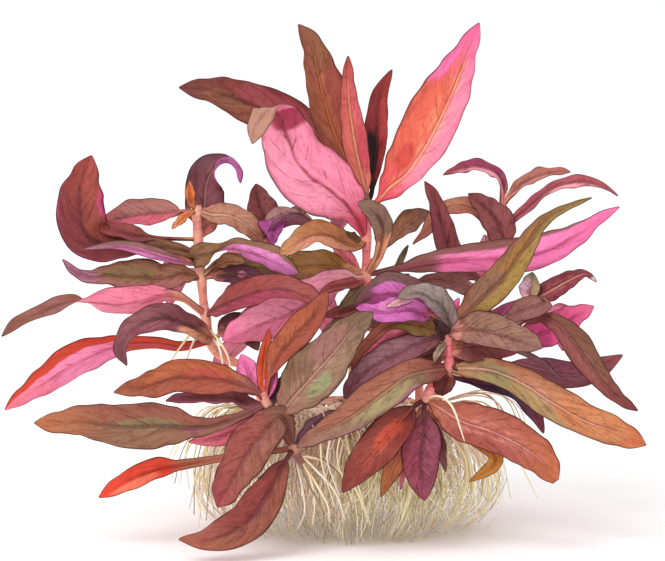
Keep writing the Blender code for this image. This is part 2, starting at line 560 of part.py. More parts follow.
def low_right_leaves():
    """The low right stem's three hanging leaves."""
    blade("low_right_leaf_red_brown", "8c3a2c", 16, (15,),
          [(28.6, 50.6, -45.6), (24, 46.4, -52), (16, 37.2, -61), (8, 28, -66), (2, 20.8, -69),
           (-1.2, 16.4, -70)],
          belly=0.46)
    blade("low_right_leaf_maroon", "8a3650", 16, (0,),
          [(31, 48.4, -46.4), (30.8, 39.2, -54), (29.4, 29.2, -58.5), (30, 21.2, -61.5), (30.8, 13, -64)],
          belly=0.48)
    blade("low_right_leaf_wide", "a45242", (3, 9, 14.5, 17.5, 18, 16.5, 12, 0.7), (20,),
          ["low_right_tip", (45.2, 44, -54), (56, 40, -60), (66, 35.2, -64), (75.2, 29, -67),
           (82.6, 20, -68)])


def back_right_leaves():
    """The back right stem's five large leaves."""
    blade("back_right_leaf_inner_upright", "964a4e", (3, 7, 10.5, 10.5, 9, 6.5, 4, 0.7), (15,),
          [(54.2, 99.6, 34.5), (46, 104.4, 31), (41.2, 113, 29), (39.2, 119.2, 27.5), (36.8, 127.4, 26.5),
           (32.8, 138.4, 25)])
    blade("back_right_leaf_upright", "9a5252", (6, 12, 13, 11.5, 7, 0.7), (15,),
          [(64.4, 114.4, 36.2), (62.6, 121.2, 35), (58.4, 127, 34), (51, 133.4, 33)])
    blade("back_right_leaf_crimson_arch", "9a3048", 9, (60,),
          [(63.8, 132.5, 43), (63.8, 137.4, 43.6), (60.8, 141.8, 43.4), (54, 144.2, 42), (47.5, 143.8, 40),
           (41.1, 142.2, 38)], stalk=0.15)
    blade("back_right_leaf_salmon_arch", "b06a5a", 9, (60,),
          [(66, 132, 43), (69.4, 137.6, 45), (74.4, 141.2, 46.4), (80.4, 143.4, 47), (86, 143.8, 47.6),
           (91.2, 143.2, 48)], stalk=0.15)
    blade("back_right_leaf_long_arch", "a85058", 12, (60, 60, 100),
          ["back_right_middle", (68.6, 123.6, 38), (76.6, 130.4, 35), (84.9, 135.6, 33), (91.5, 137.8, 32),
           (98, 138, 32), (104.4, 136.4, 31), (110.1, 133.8, 30)], stalk=0.15, rows=8)


def far_right_leaves():
    """The far right stem's four large leaves."""
    blade("far_right_leaf_dark_brown", "7e443a", 11.5, (15,),
          [(75.8, 88.8, 10), (83.5, 84.6, 4), (90, 77.4, -1), (96, 68, -5), (102.6, 58.8, -8),
           (108.6, 52.6, -11),
           (116, 47.7, -13)], rows=8)
    blade("far_right_leaf_mauve", "84485c", 12, (20,),
          [(63.6, 66, 6.4), (72, 65, 8.6), (79, 63.2, 9.6), (87.6, 61, 11), (96, 61.2, 12), (103, 63.8, 12.6),
           (112, 69, 13)], belly=0.52, rows=8)
    blade("far_right_leaf_pink", "f05c9c", 12, (20,),
          [(65.4, 71.6, 11.4), (74, 75.8, 15), (84, 80.4, 18), (94, 86.2, 19.6), (101, 90, 20)])
    blade("far_right_leaf_dark_red", "7c2e3a", 8.5, (20,),
          [(76.4, 92.8, 12), (81, 95, 10.5), (87.2, 98, 9), (93.2, 100.2, 8), (97.4, 100.8, 7),
           (100.8, 99, 6)])


root_mass()
stems()
crown_leaves()
main_leaves()
left_leaves()
back_left_leaves()
front_left_leaves()
right_leaves()
low_right_leaves()
back_right_leaves()
far_right_leaves()
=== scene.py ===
import math
import random

import bmesh
import bpy
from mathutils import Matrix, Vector


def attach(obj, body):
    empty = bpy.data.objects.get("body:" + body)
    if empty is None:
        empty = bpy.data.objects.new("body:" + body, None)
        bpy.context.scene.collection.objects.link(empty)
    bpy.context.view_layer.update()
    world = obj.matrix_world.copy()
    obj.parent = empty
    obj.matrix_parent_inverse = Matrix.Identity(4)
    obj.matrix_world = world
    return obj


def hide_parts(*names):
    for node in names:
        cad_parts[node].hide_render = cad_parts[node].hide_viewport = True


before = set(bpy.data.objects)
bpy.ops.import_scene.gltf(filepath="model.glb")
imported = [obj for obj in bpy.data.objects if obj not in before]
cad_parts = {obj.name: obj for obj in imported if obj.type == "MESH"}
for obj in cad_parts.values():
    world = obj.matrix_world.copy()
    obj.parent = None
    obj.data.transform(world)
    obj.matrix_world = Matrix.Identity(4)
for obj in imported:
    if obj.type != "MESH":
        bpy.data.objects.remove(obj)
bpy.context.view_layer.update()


# Roots: about a thousand soft threads. Each leaves the foot of a stem, crosses the top of the clump, hangs
# down its side and splays over the surface, where it thins to a hair. Together they are the skirt that the
# clump stands on.
MM = 0.001
VIEW_TILT = math.radians(8)
VIEW = Vector((0, -math.cos(VIEW_TILT), math.sin(VIEW_TILT)))
LINE_STEPS = 20
THREAD_SIDES = 4
THREAD_RINGS = 22
FEET = ((3, 3), (-34, 4), (-17, 14), (35, -10), (30, 14), (38, 4))
SKIRT = ((0, 53, 43), (6, 61, 48), (14, 66, 51), (24, 66, 50), (34, 61, 45), (42, 54, 38), (47, 49, 32),
         (50, 43, 26))
SKIRT_LOBES = ((5, 0.04, 0.4), (9, 0.03, 1.9), (14, 0.02, 3.1))
SKIRT_TOP = SKIRT[-1][0]
SHOULDER = 48
LOWEST, HIGHEST = 0.4, 49.6
SIDE_STEPS = ((36, 0.25), (23, 0.55), (11, 0.85))
ROOT_DRIFT = 0.22
ROOT_SEED = 11


def at(across, up, depth):
    """The world point that the front view shows at across and up, this far back, from millimetres."""
    height = (up - depth * math.sin(VIEW_TILT)) / math.cos(VIEW_TILT)
    return Vector((across, depth, height)) * MM


def screen(code):
    """A colour written as it looks on a screen, in the linear values of a shader."""
    channels = [int(code[i : i + 2], 16) / 255 for i in (0, 2, 4)]
    return (*[c / 12.92 if c <= 0.04045 else ((c + 0.055) / 1.055) ** 2.4 for c in channels], 1)


def smooth_line(points, count):
    """count + 1 evenly spaced places on a smooth line through the points, with their directions."""
    ends = [points[0] * 2 - points[1], *points, points[-1] * 2 - points[-2]]
    fine = []
    for a, b, c, d in zip(ends, ends[1:], ends[2:], ends[3:]):
        for k in range(LINE_STEPS):
            t = k / LINE_STEPS
            square, cube = (2 * a - 5 * b + 4 * c - d) * t**2, (3 * b - a - 3 * c + d) * t**3
            fine.append((2 * b + (c - a) * t + square + cube) / 2)
    fine.append(points[-1])
    run = [0.0]
    for a, b in zip(fine, fine[1:]):
        run.append(run[-1] + (b - a).length)
    places, k = [], 0
    for i in range(count + 1):
        want = run[-1] * i / count
        while k < len(fine) - 2 and run[k + 1] < want:
            k += 1
        share = (want - run[k]) / max(run[k + 1] - run[k], 1e-9)
        places.append(fine[k].lerp(fine[k + 1], share))
    return places, line_directions(places)


def line_directions(places):
    """The way a line runs at each of its places."""
    last = len(places) - 1
    return [(places[min(i + 1, last)] - places[max(i - 1, 0)]).normalized() for i in range(last + 1)]


def tube_form(sides, rings):
    """A straight closed tube from -0.5 to 0.5, with this many rings, to bend into a thread, stem or leaf."""
    bm = bmesh.new()
    bmesh.ops.create_cone(bm, cap_ends=True, segments=sides, radius1=1, radius2=1, depth=1)
    uprights = [e for e in bm.edges if abs(e.verts[0].co.z - e.verts[1].co.z) > 0.5]
    bmesh.ops.subdivide_edges(bm, edges=uprights, cuts=rings - 2, use_grid_fill=True)
    form = bpy.data.meshes.new("tube_form")
    bm.to_mesh(form)
    bm.free()
    return form


def lay_tube(bm, form, rings, places, radii, tone):
    """Bends a copy of the tube form along the places. tone is kept for the material."""
    first = len(bm.verts)
    bm.from_mesh(form)
    bm.verts.ensure_lookup_table()
    layer = bm.verts.layers.float_vector["place"]
    directions = line_directions(places)
    side = directions[0].orthogonal().normalized()
    frames = []
    for i, along in enumerate(directions):
        if i:
            side = directions[i - 1].rotation_difference(along) @ side
        side = (side - along * side.dot(along)).normalized()
        frames.append((side, along.cross(side)))
    for vert in bm.verts[first:]:
        i = round((vert.co.z + 0.5) * (rings - 1))
        vert[layer] = (i / (rings - 1), vert.co.y, tone)
        vert.co = places[i] + (frames[i][0] * vert.co.x + frames[i][1] * vert.co.y) * radii[i]


def new_mesh():
    """An empty mesh whose points carry the two vectors that the materials read."""
    bm = bmesh.new()
    bm.verts.layers.float_vector.new("place")
    bm.verts.layers.float_vector.new("reach")
    return bm


def new_piece(bm, name, nodes, materials):
    """Turns the mesh into a piece that stands for the CAD nodes."""
    mesh = bpy.data.meshes.new(name)
    bm.to_mesh(mesh)
    bm.free()
    mesh.shade_smooth()
    for mat in materials:
        mesh.materials.append(mat)
    piece = bpy.data.objects.new(name, mesh)
    bpy.context.scene.collection.objects.link(piece)
    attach(piece, "root")
    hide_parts(*nodes)
    return piece


def add(tree, kind, *inputs, out=0, **settings):
    """Adds a shader node, joins or sets its inputs in order, and gives back one of its outputs."""
    item = tree.nodes.new("ShaderNode" + kind)
    for key, value in settings.items():
        setattr(item, key, value)
    for socket, value in zip(item.inputs, inputs):
        if isinstance(value, bpy.types.NodeSocket):
            tree.links.new(value, socket)
        elif value is not None:
            socket.default_value = value
    return item.outputs[out]


def calc(tree, operation, *values):
    return add(tree, "Math", *values, operation=operation)


def ramp_up(tree, value, low, high):
    """0 below low, 1 above high, and a soft step between."""
    return add(tree, "MapRange", value, low, high, 0, 1, interpolation_type="SMOOTHSTEP")


def colour_mix(tree, factor, first, second, mode="MIX"):
    unused = [None] * 5
    return add(tree, "Mix", factor, *unused, first, second, data_type="RGBA", blend_type=mode, out=2)


def noise(tree, coords, scale, detail=3, roughness=0.5):
    return add(tree, "TexNoise", coords, None, scale, detail, roughness)


def new_material(name, group, values, rough, bump, sheen=0):
    """A material that takes its colour, roughness and relief from a shared group, with its own values."""
    mat = bpy.data.materials.new(name)
    mat.use_nodes = True
    tree = mat.node_tree
    shader = tree.nodes["Principled BSDF"]
    item = tree.nodes.new("ShaderNodeGroup")
    item.node_tree = group
    for key, value in values.items():
        item.inputs[key].default_value = value
    tree.links.new(item.outputs["Color"], shader.inputs["Base Color"])
    tree.links.new(calc(tree, "MULTIPLY_ADD", item.outputs["Rough"], 0.2, rough), shader.inputs["Roughness"])
    relief = add(tree, "Bump", 0.7, bump * MM, None, item.outputs["Height"])
    tree.links.new(relief, shader.inputs["Normal"])
    shader.inputs["Specular IOR Level"].default_value = 0.3
    shader.inputs["Sheen Weight"].default_value = sheen
    return mat


def new_group(name, colours, numbers):
    """An empty shader group with these inputs, and the outputs Color, Rough and Height."""
    tree = bpy.data.node_groups.new(name, "ShaderNodeTree")
    for key, code in colours.items():
        socket = tree.interface.new_socket(key, in_out="INPUT", socket_type="NodeSocketColor")
        socket.default_value = screen(code)
    for key, value in numbers.items():
        socket = tree.interface.new_socket(key, in_out="INPUT", socket_type="NodeSocketFloat")
        socket.default_value = value
    tree.interface.new_socket("Color", in_out="OUTPUT", socket_type="NodeSocketColor")
    tree.interface.new_socket("Rough", in_out="OUTPUT", socket_type="NodeSocketFloat")
    tree.interface.new_socket("Height", in_out="OUTPUT", socket_type="NodeSocketFloat")
    return tree, tree.nodes.new("NodeGroupInput").outputs, tree.nodes.new("NodeGroupOutput").inputs


def axes(tree, name):
    """The three numbers of one of the mesh's own vectors."""
    vector = tree.nodes.new("ShaderNodeAttribute")
    vector.attribute_name = name
    parts = tree.nodes.new("ShaderNodeSeparateXYZ")
    tree.links.new(vector.outputs["Vector"], parts.inputs[0])
    return parts.outputs


def root_pigment():
    """Cream threads, each of its own tint, pinker near the stems and straw at the hair. A few are dark."""
    tree, ins, outs = new_group(
        "root_pigment",
        {"Pale": "fff6dc", "Straw": "fdf0b0", "Peach": "fedcbc", "Umber": "86705c", "Stain": "f0b8a4",
         "Hair": "f6e4be"},
        {},
    )
    along, _, tone = axes(tree, "place")
    coords = add(tree, "TexCoord", out=3)
    patch = noise(tree, coords, 26, 2)
    fine = noise(tree, coords, 700, 3)
    warm = colour_mix(tree, ramp_up(tree, tone, 0.3, 0.4), ins["Pale"], ins["Straw"])
    warm = colour_mix(tree, ramp_up(tree, tone, 0.55, 0.65), warm, ins["Peach"])
    warm = colour_mix(tree, calc(tree, "MULTIPLY", ramp_up(tree, patch, 0.5, 0.62), 0.8), warm, ins["Straw"])
    blush = calc(tree, "SUBTRACT", 1, ramp_up(tree, patch, 0.38, 0.48))
    warm = colour_mix(tree, calc(tree, "MULTIPLY", blush, 0.6), warm, ins["Peach"])
    stain = calc(tree, "SUBTRACT", 1, ramp_up(tree, along, 0.1, 0.42))
    warm = colour_mix(tree, calc(tree, "MULTIPLY", stain, 0.45), warm, ins["Stain"])
    ends = calc(tree, "MULTIPLY", ramp_up(tree, along, 0.8, 1.0), 0.7)
    warm = colour_mix(tree, ends, warm, ins["Hair"])
    warm = colour_mix(tree, ramp_up(tree, tone, 0.86, 0.9), warm, ins["Umber"])
    shade = calc(tree, "MULTIPLY", ramp_up(tree, fine, 0.5, 0.75), 0.12)
    warm = colour_mix(tree, shade, warm, screen("ecd4b0"), "MULTIPLY")
    tree.links.new(warm, outs["Color"])
    tree.links.new(fine, outs["Rough"])
    tree.links.new(fine, outs["Height"])
    return tree


def skirt_face(height, angle, share):
    """A place this share of the way out to the face of the skirt of roots."""
    level = min(max(height, 0), SKIRT_TOP)
    for (low, wide, deep), (high, next_wide, next_deep) in zip(SKIRT, SKIRT[1:]):
        if level <= high:
            rise = (level - low) / (high - low)
            wide, deep = wide + (next_wide - wide) * rise, deep + (next_deep - deep) * rise
            break
    lobes = sum(size * math.cos(k * angle + start) for k, size, start in SKIRT_LOBES)
    out = share * (1 + lobes * (1.3 - level / SKIRT_TOP))
    return Vector((math.cos(angle) * wide * out, math.sin(angle) * deep * out, height))


def hanging_root(rng, angle, share, bottom, sway):
    """The places along one root: out of a stem's foot, across the top, over its edge and down."""
    drift = rng.gauss(0, ROOT_DRIFT)
    shoulder = skirt_face(SHOULDER, angle, share)
    reach = [math.hypot(x - shoulder.x, y - shoulder.y) * rng.uniform(0.7, 1.3) for x, y in FEET]
    nearest = FEET[reach.index(min(reach))]
    start = Vector((nearest[0] + rng.gauss(0, 0.9), nearest[1] + rng.gauss(0, 0.9), rng.uniform(42, 48)))
    crest = start.lerp(shoulder, 0.5)
    crest.z = rng.uniform(47, 49.5)
    shoulder.z = rng.uniform(45, 48)
    points = [start, crest, shoulder]
    for height, turned in SIDE_STEPS:
        if height > bottom + 5:
            points.append(skirt_face(height, angle + drift * turned, share * rng.uniform(0.96, 1)))
    points.append(skirt_face(bottom, angle + drift, share * rng.uniform(0.9, 1.04)))
    places, directions = smooth_line(points, THREAD_RINGS - 1)
    beats = rng.uniform(0.8, 1.8), rng.uniform(2.6, 4.6)
    phases = [rng.uniform(0, math.tau) for _ in range(4)]
    waved = []
    for i, (place, along) in enumerate(zip(places, directions)):
        s = i / (THREAD_RINGS - 1)
        bend = sway * min(s * 2.5, 1)
        sideways = Vector((-math.sin(angle), math.cos(angle), 0))
        outward = along.cross(sideways)
        slow, quick = math.tau * beats[0] * s, math.tau * beats[1] * s
        side = bend * (math.sin(slow + phases[0]) + 0.4 * math.sin(quick + phases[1]))
        away = bend * 0.35 * (math.sin(slow + phases[2]) + 0.4 * math.sin(quick + phases[3]))
        place = place + sideways * side + outward * away
        place.z = min(max(place.z, LOWEST), HIGHEST)
        waved.append(place * MM)
    return waved


def thread_radii(thick, hair):
    """A root's radius at each ring: full at first, then thinning to a hair."""
    radii = []
    for i in range(THREAD_RINGS):
        s = i / (THREAD_RINGS - 1)
        radii.append((thick + (hair - thick) * s**2) * MM)
    return radii


THREAD_FORM = tube_form(THREAD_SIDES, THREAD_RINGS)
THREAD_STAIN = new_material("root_thread", root_pigment(), {}, 0.55, 0.1, sheen=0.1)
flesh = THREAD_STAIN.node_tree.nodes["Principled BSDF"].inputs
flesh["Subsurface Weight"].default_value = 0.4
flesh["Subsurface Radius"].default_value = (1, 0.85, 0.6)
flesh["Subsurface Scale"].default_value = 3 * MM


def pale_roots(name, node, strands):
    """Thick pale roots in one piece, each with its radius, tint and line."""
    bm = new_mesh()
    for thick, tone, line in strands:
        places, _ = smooth_line([at(*p) for p in line], THREAD_RINGS - 1)
        lay_tube(bm, THREAD_FORM, THREAD_RINGS, places, thread_radii(thick, 0.2), tone)
    new_piece(bm, name, [node], [THREAD_STAIN])


def root_skirt():
    """The loose threads, in three pieces: those inside, those on the face, and the hairs."""
    rng = random.Random(ROOT_SEED)
    for name, count, shares, thick, tones in (
        ("root_threads_inner", 170, (0.1, 0.72), (0.5, 0.9), (0, 0.8)),
        ("root_threads_outer", 380, (0.72, 0.96), (0.36, 0.66), (0, 0.84)),
        ("root_threads_fine", 420, (0.74, 0.99), (0.09, 0.15), (0.7, 1)),
    ):
        bm = new_mesh()
        for _ in range(count):
            angle = rng.uniform(0, math.tau)
            share = rng.uniform(*shares)
            if rng.random() < 0.6 * abs(math.cos(angle)) ** 3:
                angle = rng.choice((0.5, 1.5)) * math.pi + rng.gauss(0, 0.6)
            bottom = rng.uniform(0.4, 2) if rng.random() < 0.4 else rng.uniform(2, 20)
            places = hanging_root(rng, angle, share, bottom, rng.uniform(0.6, 2.4))
            radius = rng.uniform(*thick)
            radii = thread_radii(radius, min(0.12, radius))
            lay_tube(bm, THREAD_FORM, THREAD_RINGS, places, radii, rng.uniform(*tones))
        new_piece(bm, name, ["root_mass"], [THREAD_STAIN])


root_skirt()
pale_roots("root_strands_thick", "root_mass", [
    (0.7, 0.6, [(-17, 27, -48.5), (-12, 20, -50), (-7, 11, -54), (-6, 4, -54)]),
    (0.6, 0.1, [(-18, 31, -48), (-11, 24, -49), (-4, 16, -52), (0, 5, -54)]),
    (0.6, 0.6, [(-16, 30, -48), (-6, 27, -47), (4, 17, -51), (9, 4, -54)]),
    (0.6, 0.2, [(-19, 27, -49), (-17, 18, -50), (-16, 8, -53), (-19, 1, -53)]),
    (0.55, 0.6, [(-18, 29, -49), (-14, 22, -51), (-12, 12, -54), (-13, 3, -54)]),
    (0.5, 1, [(-17, 32, -48), (-9, 29, -48), (-1, 21, -51), (3, 8, -54)]),
    (0.5, 1, [(-18, 28, -50), (-15, 20, -52), (-9, 9, -55), (-9, 2, -55)]),
    (0.5, 0.6, [(-14, 44, -42), (-10, 36, -46), (-9, 26, -50), (-4, 10, -54)]),
    (0.55, 0.1, [(-9, 48, -41), (-6, 38, -46), (-7, 28, -50), (-2, 14, -54)]),
    (0.5, 0.6, [(-4, 50, -40), (-2, 40, -46), (-3, 28, -50), (3, 12, -54)]),
    (0.6, 0.45, [(-34, 46, 4), (-48, 46, -8), (-62, 33, -14), (-66, 18, -16)]),
    (0.6, 0.45, [(-34, 46, 4), (-50, 44, -16), (-58, 24, -24), (-62, 8, -26)]),
    (0.6, 0.1, [(-34, 46, 4), (-46, 46, -18), (-54, 26, -30), (-52, 6, -34)]),
    (0.5, 0.4, [(-34, 47, 4), (-50, 49, -10), (-66, 36, -14), (-71, 26, -15)]),
    (0.5, 0.1, [(-34, 47, 4), (-54, 48, -14), (-63, 32, -20), (-62, 16, -22)]),
    (0.5, 0.5, [(-34, 46, 4), (-52, 47, -20), (-60, 28, -28), (-57, 4, -32)]),
    (0.5, 0.45, [(-34, 46, 4), (-49, 48, -22), (-55, 32, -32), (-58, 1, -36)]),
    (0.45, 0.2, [(-34, 46, 4), (-56, 48, -8), (-68, 30, -12), (-69, 20, -13)]),
    (0.25, 1, [(-34, 47, 4), (-52, 48, -12), (-64, 33, -17), (-68, 18, -18)]),
    (0.25, 1, [(-34, 47, 4), (-51, 47, -18), (-59, 26, -26), (-60, 6, -28)]),
    (0.25, 1, [(-34, 47, 4), (-47, 47, -20), (-53, 24, -32), (-55, 4, -35)]),
    (0.5, 0.45, [(38, 48, 4), (56, 50, -10), (66, 34, -14), (73, 20, -15), (77, 12, -16)]),
    (0.5, 0.1, [(38, 48, 4), (52, 50, -14), (62, 30, -22), (66, 12, -24)]),
    (0.5, 0.1, [(38, 50, 4), (50, 54, -6), (59, 52, -12), (63, 40, -16), (62, 26, -18)]),
    (0.5, 0.4, [(38, 50, 4), (54, 55, -4), (64, 52, -8), (69, 42, -12), (71, 30, -14)]),
    (0.45, 0.1, [(38, 50, 4), (56, 54, -2), (68, 50, -5), (72, 42, -8), (70, 34, -10)]),
    (0.45, 0.1, [(38, 50, 4), (52, 53, -8), (61, 50, -14), (66, 40, -17), (66, 30, -18)]),
    (0.2, 1, [(38, 50, 4), (55, 55, -3), (66, 51, -7), (71, 41, -11), (72, 33, -12)]),
    (0.2, 1, [(38, 50, 4), (51, 54, -7), (60, 51, -13), (64.6, 41, -16), (64, 30, -17)]),
    (0.7, 0.2, [(35, 47, -10), (44, 42, -30), (50, 26, -38), (52, 6, -40)]),
    (0.8, 0.6, [(35, 47, -10), (30, 40, -34), (28, 22, -46), (22, 4, -50)]),
    (0.8, 0.45, [(3, 48, 3), (0, 40, -30), (4, 22, -48), (10, 3, -53)]),
])


# Main stem: the tallest of the eight, a round fleshy stalk of joints, each a little swollen where its two
# leaves leave it. Its foot goes down among the roots that grow from it.
STEM_SIDES = 16
STEM_RINGS = 61
STEM_SINK = 10
NODE_SWELL = 1.25
STEM_RIDGES = 6
RIDGE_RISE = 0.035
JOINTS = {
    "main_tip": (8.8, 130, 0),
    "main_upper": (8.6, 115.6, 1),
    "main_lower": (8.4, 101.2, 2),
    "left_tip": (-59.6, 127, 8),
    "left_second": (-58.9, 115.5, 8),
    "left_third": (-58.3, 108.5, 7.6),
    "left_fourth": (-57.6, 100, 7),
    "left_fifth": (-56, 85, 6),
    "left_sixth": (-53.4, 74.5, 5),
    "back_left_tip": (-31.5, 117, 18),
    "back_left_middle": (-30, 106, 18),
    "back_left_low": (-27, 91, 18),
    "front_left_tip": (-30.8, 50.4, -45),
    "front_left_low": (-20.4, 33, -48),
    "right_tip": (40, 78, -28),
    "right_low": (40.8, 64, -28),
    "low_right_tip": (31.6, 52, -43),
    "back_right_tip": (63.8, 128, 41),
    "back_right_middle": (62.3, 117, 40),
    "back_right_low": (56.5, 94, 35),
    "far_right_tip": (73.4, 91.5, 12),
    "far_right_low": (61.5, 69, 8.6),
}


def stem_pigment():
    """Pink to salmon flesh with fine long streaks and random peach patches, a painted highlight of paler
    peach on the swell of each joint, and a thin dark ring under each.
    """
    tree, ins, outs = new_group("stem_pigment", {"High": "f0868e", "Low": "e8a090", "Peach Patch And Joint Highlight": "f0b494"}, {})
    along, around, joint = axes(tree, "place")
    coords = add(tree, "TexCoord", out=3)
    patch = noise(tree, coords, 120, 3)
    flow = add(tree, "CombineXYZ", around, calc(tree, "MULTIPLY", along, 2), joint)
    streak = noise(tree, flow, 5, 4, 0.6)
    skin = colour_mix(tree, ramp_up(tree, calc(tree, "ADD", along, patch), 0.4, 1.2), ins["High"], ins["Low"])
    lines = calc(tree, "MULTIPLY", ramp_up(tree, streak, 0.48, 0.66), 0.6)
    skin = colour_mix(tree, lines, skin, screen("cc7470"), "MULTIPLY")
    skin = colour_mix(tree, calc(tree, "MULTIPLY", ramp_up(tree, patch, 0.5, 0.75), 0.5), skin, ins["Peach Patch And Joint Highlight"])
    # Painted highlight: paler peach on the swell of each joint.
    skin = colour_mix(tree, calc(tree, "MULTIPLY", ramp_up(tree, joint, 0.3, 0.95), 0.5), skin, ins["Peach Patch And Joint Highlight"])
    below = calc(tree, "SUBTRACT", 1, ramp_up(tree, joint, 0.16, 0.3))
    ring = calc(tree, "MULTIPLY", ramp_up(tree, joint, 0.04, 0.14), below)
    skin = colour_mix(tree, calc(tree, "MULTIPLY", ring, 0.2), skin, screen("a04c50"), "MULTIPLY")
    tree.links.new(skin, outs["Color"])
    tree.links.new(streak, outs["Rough"])
    tree.links.new(streak, outs["Height"])
    return tree


STEM_FORM = tube_form(STEM_SIDES, STEM_RINGS)
STEM_PIGMENT_AND_HIGHLIGHT = stem_pigment()


def foot(x, y):
    """The last places of a stem, upright on its way down among the roots."""
    tilt = math.sin(VIEW_TILT)
    rise = math.cos(VIEW_TILT)
    return [(x, (SKIRT_TOP + up) * rise + y * tilt, y) for up in (12, 6, -STEM_SINK)]


def stem(shoot, radius, high, low, line):
    """One stem along its line from the tip down, swollen at its joints."""
    places, _ = smooth_line([at(*p) for p in line], STEM_RINGS - 1)
    spots = [at(*place) for joint, place in JOINTS.items() if joint.rsplit("_", 1)[0] == shoot]
    bm = new_mesh()
    near = [min((place - spot).length for spot in spots) / (3 * radius * MM) for place in places]
    radii = [radius * MM * (0.97 + (NODE_SWELL - 1) * max(0, 1 - n) ** 0.8) for n in near]
    lay_tube(bm, STEM_FORM, STEM_RINGS, places, radii, 0)
    layer = bm.verts.layers.float_vector["place"]
    for vert in bm.verts:
        along, around, _ = vert[layer]
        i = round(along * (STEM_RINGS - 1))
        vert[layer] = (along, around, max(0, 1 - near[i]))
        ridge = 1 + RIDGE_RISE * math.cos(STEM_RIDGES * math.asin(max(-1, min(1, around))))
        vert.co = places[i] + (vert.co - places[i]) * ridge
    values = {"High": screen(high), "Low": screen(low)}
    pigment = new_material(f"stem_{shoot}_flesh", STEM_PIGMENT_AND_HIGHLIGHT, values, 0.4, 0.15)
    new_piece(bm, f"stem_{shoot}_flesh", [f"stem_{shoot}"], [pigment])


stem("main", 1.75, "f07c90", "f0947c",
     [(8.8, 131, 0), (8.6, 116, 1), (8.4, 101, 2), (7.5, 86, 3), (5, 70, 3), *foot(3, 3)])


# Crown leaves: the six young leaves at the main stem's tip, the largest and brightest of the clump. Each
# is one thin blade with a midrib and side veins, joined to the stem by a short fleshy stalk.
STALK_WIDTH = 2.0
TIP_WIDTH = 0.5
BLADE_FULL = 0.8
BLADE_HALF_THICK = 0.24
STALK_HALF_THICK = 0.85
STALK_SUNK = 2.8
BLADE_OPENS = 0.12
KEEL = 0.12
RIB_REACH = 0.6
UPPER_GROOVE = 0.3
UNDER_RIDGE = 0.55
QUILT = 0.16
LEAF_SPREAD = (0, 0.05, 0.15, 0.3, 0.48, 0.67, 0.86, 1)
QUARTER = len(LEAF_SPREAD) - 1
LEAF_SIDES = QUARTER * 4
VEINS = 8
VEIN_SLANT = 1.9
PINK_UNDERSIDE = ("e87c9c", "dc6c90", "d06088", "a83c5c")


def between(values, t):
    """The value at t along evenly spaced ones, eased from each to the next."""
    if len(values) == 1:
        return values[0]
    place = min(t, 0.9999) * (len(values) - 1)
    k = int(place)
    ease = (1 - math.cos(math.pi * (place - k))) / 2
    return values[k] + (values[k + 1] - values[k]) * ease


def half_width(width, stalk, belly, t):
    """Half the blade's width at t.

    It follows the widths given at even steps, up to a rounded tip. Else it is a narrow stalk, a lance shape
    widest at its belly and a sharp tip.
    """
    if isinstance(width, tuple):
        place = min(t, 0.9999) * (len(width) - 1)
        k = int(place)
        if k < len(width) - 2:
            return between(width, t) / 2
        return (width[k + 1] + (width[k] - width[k + 1]) * math.cos(math.pi / 2 * (place - k))) / 2
    narrow = STALK_WIDTH + (TIP_WIDTH - STALK_WIDTH) * t
    if t <= stalk:
        return narrow / 2
    s = (t - stalk) / (1 - stalk)
    bend = math.log(0.5) / math.log(belly)
    return (narrow + (width - narrow) * max(math.sin(math.pi * s**bend), 0) ** BLADE_FULL) / 2


def blade_frames(directions, times, turn, skyward, facings):
    """For each place, the way across the blade and the way its upper side faces.

    A turn of 0 shows the upper side to the front, 90 turns it up, and 180 shows the underside. A skyward
    blade's turn is counted from the sky. A folded blade gives the way that it faces at even steps.
    """
    leftward = sum(d.x for d in directions) < 0
    facing = Vector((0, 0, 1)) if skyward else VIEW
    frames = []
    for along, t in zip(directions, times):
        if facings:
            normal = between([Vector(f) for f in facings], t)
        else:
            angle = math.radians(between(turn, t))
            front = (facing - along * facing.dot(along)).normalized()
            inner = along.cross(front) * (1 if leftward else -1)
            normal = front * math.cos(angle) + inner * math.sin(angle)
        normal = (normal - along * normal.dot(along)).normalized()
        frames.append((normal.cross(along), normal))
    return frames


def leaf_ring():
    """Around one section of a leaf: each point's share of the way across, and which side it is on."""
    across = [1.0] + [0.0] * (LEAF_SIDES - 1)
    for k in range(QUARTER + 1):
        across[k] = LEAF_SPREAD[QUARTER - k]
        across[QUARTER + k] = -LEAF_SPREAD[k]
        across[2 * QUARTER + k] = -LEAF_SPREAD[QUARTER - k]
        across[(3 * QUARTER + k) % LEAF_SIDES] = LEAF_SPREAD[k]
    sides = [0.0 if k < 2 * QUARTER else 1.0 for k in range(LEAF_SIDES)]
    sides[0] = sides[2 * QUARTER] = 0.5
    return list(zip(across, sides))


LEAF_RING = leaf_ring()
LEAF_FORMS = {rows: tube_form(LEAF_SIDES, rows + 1) for rows in (24, 44, 64)}


